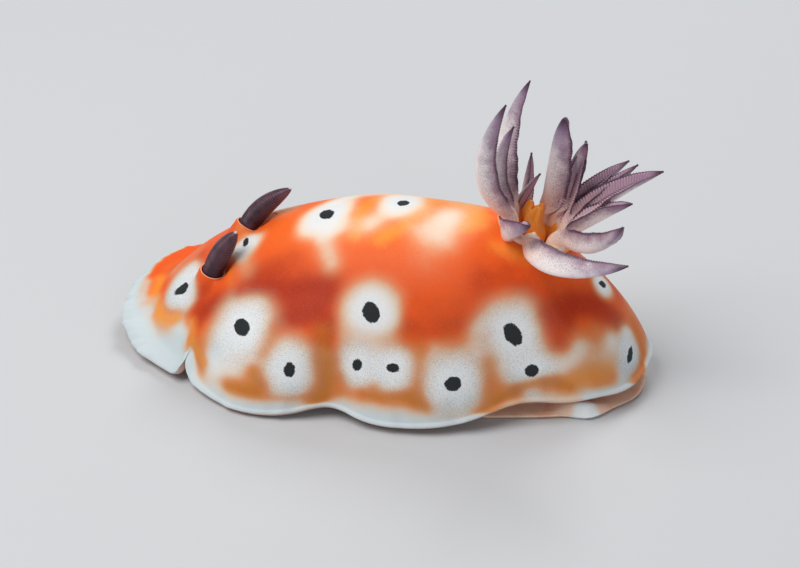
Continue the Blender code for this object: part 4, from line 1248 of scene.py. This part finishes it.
# %% Spin a profile round the gill's axis
def spun(profile, steps, seat, axis):
    shape = bmesh.new()
    corners = [shape.verts.new((radius * MM, 0.0, height * MM)) for radius, height in profile]
    for first, second in zip(corners, corners[1:]):
        shape.edges.new((first, second))
    if profile[0][0] > 0.0:
        shape.edges.new((corners[-1], corners[0]))
    geometry = shape.verts[:] + shape.edges[:]
    bmesh.ops.spin(
        shape, geom=geometry, cent=(0.0, 0.0, 0.0), axis=(0.0, 0.0, 1.0), dvec=(0.0, 0.0, 0.0),
        angle=math.tau, steps=steps, use_merge=True,
    )
    bmesh.ops.remove_doubles(shape, verts=shape.verts[:], dist=0.000001)
    fore = axis_frame(axis)[0]
    stand = Matrix((fore, axis.cross(fore), axis)).transposed().to_4x4()
    bmesh.ops.transform(shape, matrix=Matrix.Translation(seat) @ stand, verts=shape.verts)
    return shape


def curve_through(corners, count):
    """A denser profile that runs smoothly through a few corners."""
    share = np.linspace(0.0, 1.0, count)
    return [tuple(row) for row in through([Vector((r, h, 0.0)) for r, h in corners], share)[:, :2]]


# %% The fleshy ring
def build_ring():
    corners = (
        (1.75, -1.1), (3.50, -1.1), (3.60, -0.4), (3.80, 0.30), (4.06, 0.60), (4.02, 0.90), (3.60, 1.12),
        (3.0, 1.10), (2.4, 0.80), (1.9, 0.2),
    )
    root = spun(curve_through(corners, 40), 180, gill_centre, gill_axis)
    points = points_of(root)
    height, away, turned = round_axis(points, gill_centre, gill_axis)
    height = height / MM
    turned = np.degrees(turned)
    swell = np.zeros(len(points))
    for plume in PLUMES[:-1]:
        near = bump(turn_from(plume[0], turned), 0.0, 7.0 + plume[5] * 1.4)
        swell = np.maximum(swell, near * (0.5 + 0.22 * plume[5]))
    raised = swell * smooth(0.3, 1.0, height) * 0.9
    points = points + np.outer(raised * MM, np.array(gill_axis))
    put_points(root, points)
    fleshy = smooth(2.5, 3.3, away / MM) * np.maximum(swell, 0.9 * bump(turn_from(285.0, turned), 0.0, 60.0))
    fields = dict.fromkeys(("along", "edge", "inner", "leaflet", "midline"), np.zeros(len(points)))
    fields["orange"] = np.clip(1.0 - fleshy * smooth(0.3, 0.8, height), 0.0, 1.0)
    finish_piece("gill_root", root, gill_skin, fields)


build_ring()

# %% The anal papilla
papilla_skin = flesh_finish("papilla skin", (0.98, 0.34, 0.03), (0.94, 0.24, 0.02), (0.98, 0.52, 0.14))
papilla_corners = (
    (0.0, -1.1), (1.3, -1.1), (1.30, -0.2), (1.25, 0.8), (1.05, 2.0), (0.95, 2.9), (0.74, 3.35),
    (0.46, 3.35), (0.24, 3.0), (0.14, 2.7), (0.0, 2.6),
)
papilla = spun(curve_through(papilla_corners, 44), 72, gill_centre, gill_axis)
height, away, angle = round_axis(points_of(papilla), gill_centre, gill_axis)
folded = smooth(0.4 * MM, 2.4 * MM, height)
away = away * (1.0 + (0.13 * np.sin(5.0 * angle + 0.8) + 0.07 * np.sin(11.0 * angle)) * folded)
height = height + 0.35 * MM * np.sin(3.0 * angle + 1.0) * smooth(2.0 * MM, 3.0 * MM, height)
points = np.array(gill_centre) + np.outer(height, np.array(gill_axis))
points = points + np.outer(away * np.cos(angle) + 0.8 * MM * folded, np.array(gill_fore))
put_points(papilla, points + np.outer(away * np.sin(angle), np.array(gill_across)))
finish_piece("anal_papilla", papilla, papilla_skin, stands_for=("anal_papilla",))

# %% [markdown]
# ## Floor and light
#
# A museum model is best judged on a plain pale ground in soft light: one large lamp over the
# viewer's left shoulder, a weaker one from the right, one from behind to edge the gill, and a
# pale sky that keeps the shadows open.

# %% The studio
def pale_floor():
    shape = bmesh.new()
    bmesh.ops.create_grid(shape, x_segments=2, y_segments=2, size=1.5)
    mesh = bpy.data.meshes.new("floor")
    shape.to_mesh(mesh)
    shape.free()
    finish = bpy.data.materials.new("floor paper")
    finish.use_nodes = True
    shader = finish.node_tree.nodes["Principled BSDF"]
    shader.inputs["Base Color"].default_value = (0.62, 0.63, 0.65, 1.0)
    shader.inputs["Roughness"].default_value = 0.8
    mesh.materials.append(finish)
    floor = bpy.data.objects.new("floor", mesh)
    bpy.context.scene.collection.objects.link(floor)


def soft_lamp(name, place, size, power, colour):
    lamp = bpy.data.lights.new(name, "AREA")
    lamp.shape = "DISK"
    lamp.size = size
    lamp.energy = power
    lamp.color = colour
    holder = bpy.data.objects.new(name, lamp)
    bpy.context.scene.collection.objects.link(holder)
    holder.location = place
    away = Vector(place) - Vector((0.0, 0.0, 0.01))
    holder.rotation_euler = away.to_track_quat("Z", "Y").to_euler()


pale_floor()
soft_lamp("key lamp", (-0.18, -0.13, 0.38), 0.36, 1.38, (1.0, 0.985, 0.96))
soft_lamp("fill lamp", (0.16, -0.30, 0.13), 0.26, 0.15, (0.94, 0.98, 1.0))
soft_lamp("back lamp", (0.06, 0.26, 0.30), 0.18, 0.55, (1.0, 1.0, 1.0))
world = bpy.data.worlds.new("pale sky")
world.use_nodes = True
world.node_tree.nodes["Background"].inputs["Color"].default_value = (0.86, 0.90, 0.95, 1.0)
world.node_tree.nodes["Background"].inputs["Strength"].default_value = 0.28
bpy.context.scene.world = world
bpy.context.scene.view_settings.view_transform = "Standard"
print("three lamps and a pale sky")
